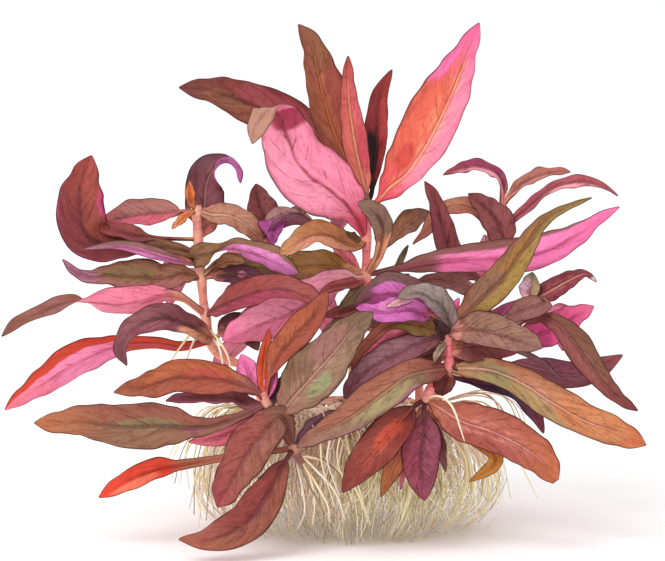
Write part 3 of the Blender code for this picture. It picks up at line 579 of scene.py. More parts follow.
def lay_leaf(bm, seed, width, turn, line, home=None, cup=0.2, stalk=0.08, belly=0.43, skyward=False,
             facings=None, ripple=0.7, lean=0, rows=24, number=0):
    """Bends a flattened tube along the line into one leaf: stalk, blade, midrib, veins and waved edges.

    A line starts at the name of a joint, or at a place of its own that home, another joint, leads to. The
    width is one number for a lance shape, or the widths at even steps. The rib leans to the upper left half
    where lean is above 0.
    """
    rng = random.Random(seed)
    points = [at(*JOINTS[p]) if isinstance(p, str) else at(*p) for p in ([home] if home else []) + line]
    places, directions = smooth_line(points, rows)
    run = sum((b - a).length for a, b in zip(places, places[1:]))
    sunk = (points[1] - points[0]).length / run if home else 0
    if isinstance(line[0], str):
        sunk = STALK_SUNK * MM / run
    times = [max(i / rows - sunk, 0) / (1 - sunk) for i in range(rows + 1)]
    frames = blade_frames(directions, times, turn, skyward, facings)
    widest = max(width) if isinstance(width, tuple) else width
    upleft = Vector((-0.6, 0, 0.8))
    sign = 1 if frames[rows // 2][0].dot(upleft) > 0 else -1
    phase = [rng.uniform(0, math.tau) for _ in range(6)]
    beats = [rng.uniform(1.3, 2.2), rng.uniform(2.4, 3.6), rng.uniform(1.3, 2.2), rng.uniform(2.4, 3.6)]
    tone = rng.random()
    first = len(bm.verts)
    first_face = len(bm.faces)
    bm.from_mesh(LEAF_FORMS[rows])
    bm.verts.ensure_lookup_table()
    bm.faces.ensure_lookup_table()
    place_layer = bm.verts.layers.float_vector["place"]
    reach_layer = bm.verts.layers.float_vector["reach"]
    for face in bm.faces[first_face:]:
        face.material_index = number
    for vert in bm.verts[first:]:
        i = round((vert.co.z + 0.5) * rows)
        t = times[i]
        k = round(math.atan2(vert.co.y, vert.co.x) / math.tau * LEAF_SIDES) % LEAF_SIDES
        v, side = LEAF_RING[k]
        across, normal = frames[i]
        half = half_width(width, stalk, belly, t)
        if i < sunk * rows:
            neck = i / (sunk * rows)
            half = STALK_WIDTH / 2 + (half - STALK_WIDTH / 2) * neck
        blade = min(max((t - stalk) / BLADE_OPENS, 0), 1)
        blade = blade * blade * (3 - 2 * blade)
        which = 0 if v > 0 else 2
        edge = abs(v) ** 2
        uneven = 0.04 * math.sin(math.tau * beats[which] * t + phase[which])
        uneven += 0.025 * math.sin(math.tau * beats[which + 1] * t + phase[which + 1])
        reach = half * (1 + uneven * edge * blade)
        share = v + lean * sign * (1 - v * v) * blade
        swell = half / (widest / 2) * blade
        wave = ripple * swell * edge * (
            math.sin(math.tau * beats[which] * 1.3 * t + phase[4 if v > 0 else 5])
            + 0.4 * math.sin(math.tau * beats[which + 1] * 1.7 * t + phase[which])
        )
        lift = cup * half * share**2 + KEEL * half * blade * (abs(v) - 0.5 * edge)
        rib = math.exp(-((v * half / RIB_REACH) ** 2)) * blade
        vein = t * VEINS - VEIN_SLANT * abs(v) ** 1.3 + (0.5 if v < 0 else 0)
        quilt = QUILT * swell * math.sin(math.pi * abs(v)) * (abs(math.sin(math.pi * vein)) ** 0.7 - 0.6)
        stalk_thick = STALK_HALF_THICK * math.sqrt(max(1 - v * v, 0)) * (1 - 0.3 * t)
        blade_thick = BLADE_HALF_THICK * (1 if abs(v) < 0.9 else 0)
        thick = stalk_thick + (blade_thick - stalk_thick) * blade
        if side < 0.5:
            height = lift + wave + quilt + thick - UPPER_GROOVE * rib
        elif side > 0.5:
            height = lift + wave + quilt - thick - UNDER_RIDGE * (1 - t) * rib
        else:
            height = lift + wave
        vert[place_layer] = (t, v * sign, side)
        vert[reach_layer] = (abs(v) * half, (1 - abs(v)) * half, tone)
        vert.co = places[i] + (across * reach * share + normal * height) * MM


def leaf_pigment_and_shade():
    """The stain of a leaf, with painted shade. Each half of each side has its own colour, running together
    along the midrib and into the tip and the stalk, with brushed streaks that follow the veins, two patches
    of other colour, a midrib, arching side veins, painted shade in patches towards both edges and a fine dark
    rim. On most leaves the patches are stains; on the dark red and the folded crown leaves the first is a
    painted shadow."""
    tree, ins, outs = new_group(
        "leaf_pigment_and_shade",
        {
            "Upper A": "8c4c3c", "Upper B": "8c4c3c", "Upper Tip": "7a3c34", "Upper Rib": "d89468",
            "Under A": "e87c9c", "Under B": "dc6c90", "Under Tip": "d06088", "Under Rib": "a83c5c",
            "Stalk": "e08c78", "Strip": "c63e22", "Patch": "8c8a50", "Other Patch": "8c8a50",
        },
        {
            "Strip Side": 0, "Strip From": 0.45, "Mottle": 1, "Veins": 0.6, "Rim": 0.8, "Heart": 0.3,
            "Rib": 0.55,
            "Patch T": 9, "Patch V": 0, "Patch Long": 0.2, "Patch Wide": 0.6,
            "Other Patch T": 9, "Other Patch V": 0, "Other Patch Long": 0.2, "Other Patch Wide": 0.6,
        },
    )
    t, v, side = axes(tree, "place")
    rib_mm, edge_mm, tone = axes(tree, "reach")
    coords = add(tree, "TexCoord", out=3)
    big = noise(tree, coords, 60, 2)
    mid = noise(tree, coords, 210, 5, 0.62)
    fine = noise(tree, coords, 900, 4, 0.6)
    side = ramp_up(tree, side, 0.46, 0.54)
    away = calc(tree, "ABSOLUTE", v)
    blade = ramp_up(tree, edge_mm, 0.5, 2.0)

    slant = calc(tree, "MULTIPLY", calc(tree, "POWER", away, 1.3), -VEIN_SLANT)
    run = calc(tree, "MULTIPLY_ADD", t, VEINS, slant)
    run = calc(tree, "MULTIPLY_ADD", calc(tree, "LESS_THAN", v, 0), 0.5, run)
    seed = calc(tree, "MULTIPLY_ADD", tone, 20, calc(tree, "MULTIPLY", calc(tree, "SIGN", v), 3))
    brushed = noise(tree, add(tree, "CombineXYZ", run, calc(tree, "MULTIPLY", away, 0.6), seed), 2.6, 5, 0.65)
    drawn = noise(tree, add(tree, "CombineXYZ", calc(tree, "MULTIPLY", t, 2), v, seed), 4.5, 4, 0.6)

    spread = calc(tree, "MULTIPLY_ADD", calc(tree, "SUBTRACT", big, 0.5), 0.5, v)
    half = ramp_up(tree, spread, -0.12, 0.12)
    outward = calc(tree, "MULTIPLY_ADD", calc(tree, "SUBTRACT", mid, 0.5), 0.5, t)
    tip = ramp_up(tree, outward, 0.62, 0.98)
    foot_share = calc(tree, "SUBTRACT", 1, ramp_up(tree, outward, 0.04, 0.26))

    upper = colour_mix(tree, half, ins["Upper B"], ins["Upper A"])
    upper = colour_mix(tree, tip, upper, ins["Upper Tip"])
    under = colour_mix(tree, half, ins["Under B"], ins["Under A"])
    under = colour_mix(tree, tip, under, ins["Under Tip"])
    skin = colour_mix(tree, side, upper, under)
    rib_colour = colour_mix(tree, side, ins["Upper Rib"], ins["Under Rib"])
    heart = calc(tree, "SUBTRACT", 1, ramp_up(tree, away, 0.08, 0.6))
    heart = calc(tree, "MULTIPLY", heart, calc(tree, "SUBTRACT", 1, ramp_up(tree, t, 0.55, 0.95)))
    heart = calc(tree, "MULTIPLY", heart, ramp_up(tree, drawn, 0.42, 0.6))
    skin = colour_mix(tree, calc(tree, "MULTIPLY", heart, ins["Heart"]), skin, rib_colour)
    banded = calc(tree, "MULTIPLY", spread, ins["Strip Side"])
    strip_end = calc(tree, "ADD", ins["Strip From"], 0.12)
    skin = colour_mix(tree, ramp_up(tree, banded, ins["Strip From"], strip_end), skin, ins["Strip"])
    for patch in ("Patch", "Other Patch"):
        down = calc(tree, "DIVIDE", calc(tree, "SUBTRACT", t, ins[f"{patch} T"]), ins[f"{patch} Long"])
        over = calc(tree, "DIVIDE", calc(tree, "SUBTRACT", v, ins[f"{patch} V"]), ins[f"{patch} Wide"])
        off = calc(tree, "ADD", calc(tree, "MULTIPLY", down, down), calc(tree, "MULTIPLY", over, over))
        off = calc(tree, "MULTIPLY_ADD", calc(tree, "SUBTRACT", brushed, 0.5), 0.8, off)
        inside = calc(tree, "SUBTRACT", 1, ramp_up(tree, off, 0.5, 1.2))
        skin = colour_mix(tree, inside, skin, ins[patch])
    skin = colour_mix(tree, foot_share, skin, ins["Stalk"])

    darker = calc(tree, "MULTIPLY", ramp_up(tree, brushed, 0.5, 0.68), ins["Mottle"])
    skin = colour_mix(tree, calc(tree, "MULTIPLY", darker, 0.55), skin, screen("b47c74"), "MULTIPLY")
    paler = calc(tree, "SUBTRACT", 1, ramp_up(tree, brushed, 0.3, 0.48))
    paler = calc(tree, "MULTIPLY", paler, ins["Mottle"])
    skin = colour_mix(tree, calc(tree, "MULTIPLY", paler, 0.6), skin, screen("583428"), "SCREEN")
    worn = calc(tree, "MULTIPLY", ramp_up(tree, mid, 0.5, 0.7), ins["Mottle"])
    skin = colour_mix(tree, calc(tree, "MULTIPLY", worn, 0.4), skin, screen("b88c7c"), "MULTIPLY")
    # Painted shade: noise-broken darkening towards both edges of every blade.
    painted_edge_shade = calc(tree, "MULTIPLY", ramp_up(tree, away, 0.6, 1), ramp_up(tree, drawn, 0.4, 0.6))
    skin = colour_mix(tree, calc(tree, "MULTIPLY", painted_edge_shade, 0.5), skin, screen("a8746c"), "MULTIPLY")
    grain = calc(tree, "MULTIPLY", ramp_up(tree, fine, 0.5, 0.68), ins["Mottle"])
    skin = colour_mix(tree, calc(tree, "MULTIPLY", grain, 0.3), skin, screen("8c6058"), "MULTIPLY")

    wander = calc(tree, "MULTIPLY", calc(tree, "SUBTRACT", mid, 0.5), 0.4)
    ridge = calc(tree, "FRACT", calc(tree, "ADD", run, wander))
    ridge = calc(tree, "ABSOLUTE", calc(tree, "MULTIPLY_ADD", ridge, 2, -1))
    line = ramp_up(tree, ridge, 0.86, 0.97)
    fade = calc(tree, "SUBTRACT", 1, ramp_up(tree, away, 0.55, 0.9))
    fade = calc(tree, "MULTIPLY", fade, calc(tree, "SUBTRACT", 1, ramp_up(tree, t, 0.8, 0.95)))
    fade = calc(tree, "MULTIPLY", fade, ramp_up(tree, drawn, 0.38, 0.6))
    veins = calc(tree, "MULTIPLY", calc(tree, "MULTIPLY", line, fade), ins["Veins"])
    skin = colour_mix(tree, veins, skin, screen("98484c"), "MULTIPLY")

    rib_run = calc(tree, "MULTIPLY_ADD", t, -0.35, 0.55)
    off_rib = calc(tree, "SUBTRACT", rib_mm, rib_run)
    rib = calc(tree, "MULTIPLY", calc(tree, "SUBTRACT", 1, ramp_up(tree, off_rib, -0.25, 0.15)), blade)
    flank = calc(tree, "MULTIPLY", calc(tree, "SUBTRACT", 1, ramp_up(tree, off_rib, 0.15, 0.9)), blade)
    shown = calc(tree, "MULTIPLY_ADD", ramp_up(tree, drawn, 0.35, 0.6), 0.6, 0.4)
    shown = calc(tree, "MULTIPLY", shown, calc(tree, "SUBTRACT", 1, ramp_up(tree, t, 0.7, 0.95)))
    flank = calc(tree, "MULTIPLY", calc(tree, "MULTIPLY", flank, shown), 0.6)
    skin = colour_mix(tree, flank, skin, screen("985c54"), "MULTIPLY")
    rib = calc(tree, "MULTIPLY", calc(tree, "MULTIPLY", rib, shown), ins["Rib"])
    skin = colour_mix(tree, rib, skin, rib_colour)

    rim = calc(tree, "SUBTRACT", 1, ramp_up(tree, edge_mm, 0.1, 0.55))
    skin = colour_mix(tree, calc(tree, "MULTIPLY", rim, ins["Rim"]), skin, screen("603c3c"), "MULTIPLY")

    tree.links.new(skin, outs["Color"])
    tree.links.new(mid, outs["Rough"])
    relief = calc(tree, "MULTIPLY_ADD", veins, -0.7, calc(tree, "MULTIPLY", fine, 0.5))
    tree.links.new(relief, outs["Height"])
    return tree


LEAF_PIGMENT_AND_SHADE = leaf_pigment_and_shade()


def leaf_stain_and_shade(name, upper, under=PINK_UNDERSIDE, stalk_tint="e08c78", strip=None, patches=(), mottle=1,
               veins=0.6, heart=0.3, rib=0.55):
    """A leaf's material: each side's two halves, tip and midrib, then its stalk, edge strip and patches.

    The first half is the one towards the upper left of the view. A strip is a colour, its half and how far
    out it starts. A patch is a colour, its place along and across, and its reach each way.
    """
    values = {"Stalk": screen(stalk_tint), "Mottle": mottle, "Veins": veins, "Heart": heart, "Rib": rib}
    for face, codes in (("Upper", upper), ("Under", under)):
        for part, code in zip(("A", "B", "Tip", "Rib"), codes):
            values[f"{face} {part}"] = screen(code)
    if strip:
        values["Strip"] = screen(strip[0])
        values["Strip Side"] = strip[1]
        values["Strip From"] = strip[2]
    for label, (code, *numbers) in zip(("Patch", "Other Patch"), patches):
        values[label] = screen(code)
        for key, number in zip(("T", "V", "Long", "Wide"), numbers):
            values[f"{label} {key}"] = number
    return new_material(name, LEAF_PIGMENT_AND_SHADE, values, 0.45, 0.25)


def leaf(node, slot, width, turn, line, upper, stain=None, rows=64, **form):
    """One large leaf, in the place of its CAD node."""
    bm = new_mesh()
    lay_leaf(bm, node, width, turn, line, rows=rows, **form)
    # The leaf's material holds its stains and, from the shared group, painted shade towards the edges.
    pigment = leaf_stain_and_shade(f"{node}_stain", upper, **(stain or {}))
    new_piece(bm, f"{node}_blade", [node], [pigment])


def joined_leaves(name, node, leaves):
    """Several blades in one piece, each with its label, form and stain."""
    bm = new_mesh()
    pigments = []
    for label, width, turn, line, upper, stain, form in leaves:
        lay_leaf(bm, f"{name}_{label}", width, turn, line, number=len(pigments), **form)
        # Each material holds its blade's stains and, from the shared group, painted shade towards the edges.
        pigments.append(leaf_stain_and_shade(f"{name}_{label}_stain", upper, **stain))
    new_piece(bm, name, [node], pigments)


def small_leaves(shoot, leaves):
    """A stem's small leaves and buds, joined in one piece on the stem's CAD node."""
    joined_leaves(f"stem_{shoot}_small_leaves", f"stem_{shoot}", leaves)


BACK_LEAF = {"skyward": True, "rows": 44}
SEATED = {"stalk": 0.02}


leaf("crown_leaf_tall_brown", "leaf_brown", (2.4, 9, 14.6, 17.6, 18, 16.8, 13, 8.4, 0.6), (30, 18, 10),
     [(6.2, 133.2, 2.6), (4.4, 140.5, 6), (-2.6, 156.4, 10), (-6.8, 169.2, 11.5), (-9.8, 181.4, 11),
      (-12.8, 192.4, 9.5), (-18.6, 201.2, 8)],
     ("98523c", "a04c40", "8c4c3c", "dc8850"),
     {"stalk_tint": "84443a", "heart": 0.4,
      "patches": [("a85c3c", 0.45, 0.1, 0.25, 0.35), ("8c5438", 0.84, -0.3, 0.14, 0.8)]},
     home="main_tip", lean=0.12)
leaf("crown_leaf_centre", "leaf_red", (2, 7.5, 9.6, 10, 9, 7, 4.6, 0.6), (5,),
     [(8.6, 133, -1.5), (6.6, 141.2, -2), (4.4, 151.2, -2), (2.4, 163.2, -1.5), (1.2, 176, 0),
      (1.2, 188.4, 2)],
     ("cc6058", "c8545c", "a8443c", "f0a878"),
     {"stalk_tint": "d87868", "mottle": 0.7, "patches": [("bc4450", 0.3, -0.5, 0.2, 0.4)]},
     home="main_tip", cup=0.35, rows=44)
# The near-black first patch and the near-black stalk tint of this leaf are a painted shadow over the lower
# blade and its stalk.
leaf("crown_leaf_dark_red", "leaf_red", 9.5, (15,),
     [(10.6, 133.5, 3), (11.6, 143.2, 6.5), (12.8, 153.2, 9), (13.2, 163.2, 10.5), (14, 172.4, 11.5),
      (18.8, 183.4, 12)],
     ("8c2c2c", "a43434", "882c2a", "601c20"),
     {"stalk_tint": "201010", "patches": [("180c0c", 0.3, 0.5, 0.22, 0.8), ("b04040", 0.62, -0.4, 0.2, 0.5)]},
     home="main_tip", cup=0.3, stalk=0.05, belly=0.5, rows=44)
leaf("crown_leaf_right_pink", "leaf_pink", (2.4, 11.5, 18.4, 21.8, 21.8, 19, 14, 8.4, 0.6), (12, 5, 10),
     [(12.8, 130.5, -0.5), (21.2, 140.2, -4), (28.2, 150.8, -4), (35.2, 164, -4), (42, 177.4, -2),
      (48, 190, 1), (53.4, 201.6, 4)],
     ("d8604c", "f07c98", "dc6090", "f0a878"),
     {"stalk_tint": "e0505c", "mottle": 0.6, "veins": 0.5, "heart": 0.4, "rib": 0.8,
      "patches": [("e4689c", 0.8, 0.9, 0.16, 0.35), ("c8483c", 0.26, 0.45, 0.09, 0.3)]},
     home="main_tip", cup=0.15, lean=-0.25, ripple=0.4)
leaf("crown_leaf_left_arched", "leaf_red", (2.4, 6, 12, 15, 17.5, 19, 18.5, 17, 14, 9, 0.6), (20, 15, 15, 15),
     [(7.5, 130.5, 4.2), (4.4, 136, 9), (-2.6, 144.4, 16), (-12, 153.6, 21), (-20.6, 160.4, 23),
      (-27, 164.6, 22.5), (-34.4, 168.2, 21), (-44, 172, 18), (-52.6, 174.6, 14), (-66.4, 176.2, 10)],
     ("94403e", "8c4c38", "703830", "583028"),
     {"patches": [("984448", 0.62, 0.4, 0.14, 0.5), ("845038", 0.8, -0.2, 0.1, 0.5)]}, home="main_tip")
AWAY, NEAR = (0, 1, 0), (0, -1, 0)
# The crimson patch near this leaf's fold is painted shade under the fold.
leaf("crown_leaf_left_folded", "leaf_pink", (3.6, 8, 20, 27, 27, 24.6, 21.6, 17.4, 13, 9, 0.6), (0,),
     ["main_upper", (2.4, 127.2, -7), (-5.4, 134.2, -11), (-14.6, 141, -13.5), (-19.4, 146.6, -14.5),
      (-22.4, 154.4, -15.5), (-25, 160.6, -16), (-27, 165.2, -17.6), (-28.4, 167, -20.6),
      (-31.6, 165, -24), (-34.6, 159.8, -26), (-36.6, 152.8, -26)],
     ("b08074", "a8786c", "b0806c", "7c5048"),
     {"under": ("f090ac", "f086a4", "f07c9c", "942c3c"), "stalk_tint": "e0546c", "mottle": 0.6, "rib": 0.9,
      "patches": [("a83450", 0.7, -0.4, 0.06, 0.9)]},
     cup=0.06, ripple=0.4,
     facings=(*[AWAY] * 7, (0, 1, 0.4), (0, 0.3, 1), NEAR, NEAR))
small_leaves("main", [
    ("small_right", (1.2, 1.2, 1.6, 4, 8.6, 10.4, 8, 0.6), (30,),
     [(8.6, 106, 2), (12.6, 108.5, 4), (18.8, 115.2, 5), (24.4, 121, 5), (33.6, 126.8, 3)],
     ("90603f", "8c5c48", "6c4838", "b88460"), {}, {"stalk": 0.4, "rows": 44}),
    ("narrow_olive", 3.6, (20,), [(8.2, 93, 3), (15, 96, 7), (20.4, 103, 9), (25.4, 113.2, 9)],
     ("8a7a5c", "7c6c50", "70604c", "a89878"), {}, {"belly": 0.6}),
    ("back_long", 17, (20, 0), [(8, 92, 3), (12, 98, 26), (18, 98, 52), (22, 88, 76)],
     ("7c4438", "884c3c", "6c3830", "c87c60"), {}, BACK_LEAF),
    ("back_upper", 15, (20, 0), ["main_upper", (4, 124, 24), (0, 126, 44), (-3, 118, 62)],
     ("8c4a44", "985044", "7c4038", "d08868"), {}, BACK_LEAF),
    ("tip_bud", 3.4, (20,), [(8.8, 127, 0), (8.6, 130, -3.4), (8.4, 134, -4)],
     ("c8b0a0", "b89c8c", "a48c80", "8c7468"), {"stalk_tint": "b49484"}, SEATED),
    ("olive_behind", 6, (40,), [(8.6, 113, 2), (4, 115, 5), (-1.4, 119, 7)],
     ("80603a", "705438", "604830", "a08058"), {"stalk_tint": "c88060"}, SEATED),
    ("pink_behind", 7, (150,), [(8, 95, 3), (17, 96, 11), (26, 101.6, 14)],
     ("a05050", "984848", "904444", "783838"), {"under": ("e85878", "f06888", "e05074", "b03c5c")}, {}),
    ("pink_upright", 6.5, (20,), ["main_lower", (2, 106, 5), (-5, 113.6, 8)],
     ("f07c8c", "f49088", "f098a0", "d86078"), {"stalk_tint": "f0a088", "mottle": 0.6}, {}),
    ("red_over_pink", 5, (20,), [(7, 99, 1), (2, 97.6, -7), (-5, 96.4, -12.4), (-11.6, 92.4, -14)],
     ("a44c48", "944040", "a45048", "783030"), {"stalk_tint": "a85850"}, SEATED),
    ("low_olive", 6, (20,), [(8.4, 97, 2), (4, 93, -4), (-2.4, 87.4, -7)],
     ("8c7850", "806c48", "786444", "a89870"), {"stalk_tint": "a08860"}, SEATED),
    ("low_crimson", 6.5, (20,), [(7.8, 90, 3), (1, 87, -5), (-9, 84.6, -9)],
     ("9c504c", "904448", "8c4848", "743840"), {}, SEATED),
    ("low_pale_olive", 8, (20,), [(7, 84, 3), (0, 82, -5), (-10, 76.4, -8)],
     ("94805c", "887454", "806c4c", "b0a07c"), {}, SEATED),
    ("inner_brown", 10, (20,), [(6.8, 81, 3), (16, 80, 9), (30, 71, 12)],
     ("7c4c44", "70443c", "744440", "986858"), {}, SEATED),
    ("inner_low", 10, (20,), [(5, 70, 3), (14, 66, 7), (27, 56, 8)],
     ("6c4040", "74483c", "6c4040", "946454"), {}, SEATED),
    ("inner_dark", 9, (20,), [(5, 69, 3), (-4, 64, 6), (-14, 54, 6)],
     ("5c3c50", "6c4858", "5c3c4c", "886470"), {"stalk_tint": "b07880"}, SEATED),
    ("inner_mauve", 7, (20,), [(5.4, 74, 3), (-4, 76, 8), (-14, 70, 9)],
     ("8c5058", "7c4850", "74444c", "a87078"), {"stalk_tint": "e09088"}, SEATED),
])


# The main stem's other five large leaves. They leave its two joints below the crown on fleshy stalks, and
# one is bent back over its own.
leaf("main_leaf_bent_back", "leaf_olive", (3.2, 3.8, 4.2, 5.2, 7.6, 9.6, 9.6, 7.4, 0.6), (20,),
     ["main_lower", (11.4, 105.4, -2), (13.4, 109.2, -4), (14.6, 114.6, -7), (14.8, 119.4, -10),
      (13.4, 123.4, -13), (10.4, 126.6, -15.4), (7.2, 128.6, -17), (4.8, 129.6, -18)],
     ("94745f", "8a6858", "846454", "60443c"),
     {"stalk_tint": "f0a884", "patches": [("f0a884", 0.16, 0, 0.34, 3), ("a8705c", 0.5, 0.5, 0.1, 0.6)]})
leaf("main_leaf_left_arched", "leaf_olive", (3, 6, 10.6, 12.6, 13, 11, 8, 0.6), (30, 40, 30),
     [(5.4, 112.4, -2.4), (0, 113.6, -8), (-5.6, 116.2, -14), (-12, 117, -18), (-19, 113.6, -21),
      (-26, 109.2, -22)],
     ("a86c40", "c8886c", "b47c54", "884c34"), {"stalk_tint": "b0744c"}, home="main_upper", rows=44)
leaf("main_leaf_left_olive", "leaf_olive", (2.6, 6, 11.4, 14, 13.6, 11, 7, 0.6), (25,),
     ["main_lower", (0, 103.4, 0.6), (-10, 104.6, 1), (-20, 103.6, 1.5), (-31.8, 100.4, 2)],
     ("90642c", "986834", "7c5c34", "a07038"), {"stalk_tint": "e0a078"}, rows=44)
leaf("main_leaf_left_drooping", "leaf_pink", (3, 10, 14.5, 18, 21, 21, 18, 12, 0.6), (155, 150),
     [(5.6, 100, -0.4), (-4, 98, -6), (-13, 91.6, -9), (-22, 86, -10), (-35, 81, -10), (-49, 75, -9)],
     ("8c5048", "844844", "744040", "5c3030"),
     {"under": ("f8a0bc", "f48cb0", "f080a8", "c86088"), "mottle": 0.55, "stalk_tint": "f0a8a8"},
     home="main_lower")
leaf("main_leaf_right_long", "leaf_mauve", (2.5, 3.4, 7.5, 10.5, 13, 15, 15, 13, 9.5, 5, 0.6),
     (160, 165, 165, 165),
     ["main_lower", (20, 103.4, 3), (35.2, 106.2, 4), (51.8, 107.8, 5), (64, 108.2, 5.6), (75, 109.4, 7),
      (84.8, 112.8, 8), (93.2, 117.4, 8), (101.4, 123.6, 8), (110, 128.5, 8)],
     ("8c5450", "84504c", "7c4848", "6c3c3c"),
     {"under": ("f080b4", "f67cb4", "f470a8", "b83c70"), "mottle": 0.5, "stalk_tint": "8c504c",
      "strip": ("a06068", 1, 0.8),
      "patches": [("8c5450", 0.1, 0, 0.17, 3), ("8c5450", 0.4, 0.85, 0.26, 0.42)]})


# Left stem: a salmon stalk with the most leaves of all, in pairs at six joints, the top ones still curled.
# Short pale air roots hang from its lowest joints.
stem("left", 1.8, "e8988c", "eca890",
     [(-59.6, 129, 8), (-58.9, 115, 8), (-57.6, 100, 7), (-56, 85, 6), (-51.5, 70, 5), *foot(-34, 4)])
small_leaves("left", [
    ("bud_upright", 4.4, (20,), ["left_tip", (-61.8, 131, 4), (-62.2, 139, 3.4)],
     ("e07c44", "d07038", "d47c48", "b05c34"), {"stalk_tint": "d88860"}, {}),
    ("bud_low", 3.8, (20,), ["left_tip", (-64, 124.6, 2), (-69.2, 119.6, 1)],
     ("e08048", "d07440", "e09068", "b05c38"), {"stalk_tint": "d88860"}, {}),
    ("narrow_pink", 5.5, (160,),
     [(-58.2, 104.8, 7.3), (-64, 106.6, 0), (-71.2, 108.4, -6), (-81.6, 111.4, -9.6), (-91.2, 113, -11.4),
      (-104, 111.6, -12)],
     ("94605c", "8c5450", "84504c", "6c3c3c"),
     {"under": ("d888b0", "dc80b8", "a87084", "a05c84"), "strip": ("8c5c58", 1, 0.15), "mottle": 0.7},
     {"rows": 44}),
    ("olive_between", 8, (30,), ["left_fourth", (-47, 104, 6), (-36, 103.6, 6), (-24, 102, 6)],
     ("86683c", "7c6040", "746044", "a08858"), {}, {}),
    ("mauve_lower", 6.4, (30,), ["left_fourth", (-52, 104.6, 3), (-46, 107, 0), (-39.6, 106.2, -2)],
     ("9c6848", "8c5c44", "84543c", "b08058"), {"stalk_tint": "c8a880"}, {"stalk": 0.35}),
    ("red_between", (1.6, 1.6, 1.8, 3, 7, 8.6, 8, 5), (40,),
     ["left_second", (-68, 115.6, 4), (-78, 116, 0), (-86, 117.4, -3), (-98, 120.4, -4)],
     ("8c4038", "84343c", "8c3c3c", "682c2c"), {"stalk_tint": "d88c5c"}, {"stalk": 0.3}),
    ("small_olive", 6, (30,), ["left_fourth", (-51, 107, 9), (-45, 107.5, 10), (-36, 105, 10)],
     ("987448", "8c6844", "84603c", "b08c60"), {"stalk_tint": "c8a070"}, {"stalk": 0.35}),
    ("dark_mauve", 8, (20,), ["left_fourth", (-47, 101, 4), (-37, 100.6, 2), (-29, 97.4, 1)],
     ("6c3848", "60303c", "5c2c3c", "8c5060"), {"patches": [("e084ac", 0.52, 0.1, 0.07, 0.35)]}, {}),
    ("low_dark", 12, (20,), ["left_sixth", (-46.5, 80, 1), (-40, 79, -2), (-34.6, 71, -3)],
     ("743c40", "7c4040", "7c5048", "a06860"), {}, {}),
    ("pale_stalks", 2, (20,), ["left_fourth", (-63, 99.4, 6), (-69.5, 98.6, 4)],
     ("e8a070", "d89068", "dc9c70", "b87850"), {"stalk_tint": "e8a078"}, {}),
    ("back", 15, (20, 0), ["left_fourth", (-64, 104, 26), (-70, 100, 46), (-72, 88, 64)],
     ("844c44", "8c5448", "7c4440", "cc8468"), {}, BACK_LEAF),
])
leaf("left_leaf_curled_plum", "leaf_mauve", (4, 10, 15, 16, 16, 15.6, 14.4, 12, 9.5, 6.5, 0.6),
     (0, 0, 5, 15, 60, 110, 125),
     ["left_second", (-56.6, 121, 14), (-56.4, 130, 17), (-55.6, 138, 18), (-52.4, 144.2, 16),
      (-47.6, 146.4, 13),
      (-43.6, 143.8, 10), (-41.8, 138, 8)],
     ("64303c", "703844", "4c2430", "a87c74"),
     {"under": ("d888bc", "cc74b0", "a85090", "502030"), "patches": [("7c4048", 0.35, -0.1, 0.3, 0.5)]},
     stalk=0.02)
leaf("left_leaf_salmon", "leaf_brown", (5, 8.6, 10.4, 11, 10.6, 9.6, 7.4, 0.6), (30,),
     ["left_tip", (-54, 125.4, 8.6), (-46, 124.8, 9), (-38.6, 120.4, 9), (-32.8, 113.8, 9)],
     ("b88068", "b07860", "a86c54", "e8c0a4"), {"stalk_tint": "b47c64", "mottle": 0.8}, stalk=0.02, rows=44)
leaf("left_leaf_upper_pink", "leaf_pink", 15, (40, 45),
     ["left_tip", (-74, 126, 10), (-82, 125.4, 10), (-90.8, 123.6, 10), (-100.4, 122.4, 9)],
     ("9c6258", "c8586c", "b0505c", "84484c"), {"stalk_tint": "b06860"}, stalk=0.1, rows=44)
leaf("left_leaf_dark_red_upturned", "leaf_red", (5, 6.5, 7, 8, 12, 16.5, 19, 19.6, 18, 11.4, 0.6),
     (40, 25, 10, 10),
     ["left_third", (-68, 111.4, 1), (-78, 112.6, -2), (-88, 112.4, -4), (-96, 113, -5.5),
      (-102, 116.4, -6.5),
      (-105, 123, -7), (-105.6, 131.5, -7), (-104, 139.8, -6), (-100.8, 148.8, -5)],
     ("8c3c30", "7c3034", "984038", "501c20"),
     {"strip": ("943058", -1, 0.8), "stalk_tint": "86603c",
      "patches": [("7c5238", 0.08, 0, 0.22, 3), ("b43868", 0.74, 0.95, 0.1, 0.25)]})
leaf("left_leaf_wavy_olive", "leaf_olive", (9, 11, 10.5, 10, 10.5, 11, 11, 8, 0.6), (5, 70, 140, 150, 150),
     [(-60.4, 108.4, 3.8), (-55, 109.4, 2.6), (-49.2, 111.4, 0), (-42, 111.6, -4), (-33.2, 109, -7),
      (-26, 105.6, -9), (-18.4, 101.8, -10)],
     ("86603c", "8c683c", "74503c", "5c4028"),
     {"under": ("e488c4", "dc7cbc", "c878b0", "a05088"), "stalk_tint": "845c3c", "strip": ("8c6448", 1, 0.5),
      "mottle": 0.7}, home="left_third", stalk=0.02)
leaf("left_leaf_mauve_olive", "leaf_mauve", (2.4, 8.6, 13, 14, 14, 12.4, 8.6, 5.4, 3.6, 0.6),
     (35, 30, 20, 20),
     ["left_fourth", (-66, 101.4, 0), (-73, 99.8, -3), (-84, 100.4, -5.5), (-94, 101, -7), (-102, 100.2, -7),
      (-108, 102.6, -7), (-112.6, 107.4, -7)],
     ("9c6a50", "a0645c", "a06880", "704834"),
     {"stalk_tint": "a87058", "patches": [("846844", 0.5, 0.1, 0.2, 0.5), ("a86c84", 0.85, 0, 0.15, 1)]})
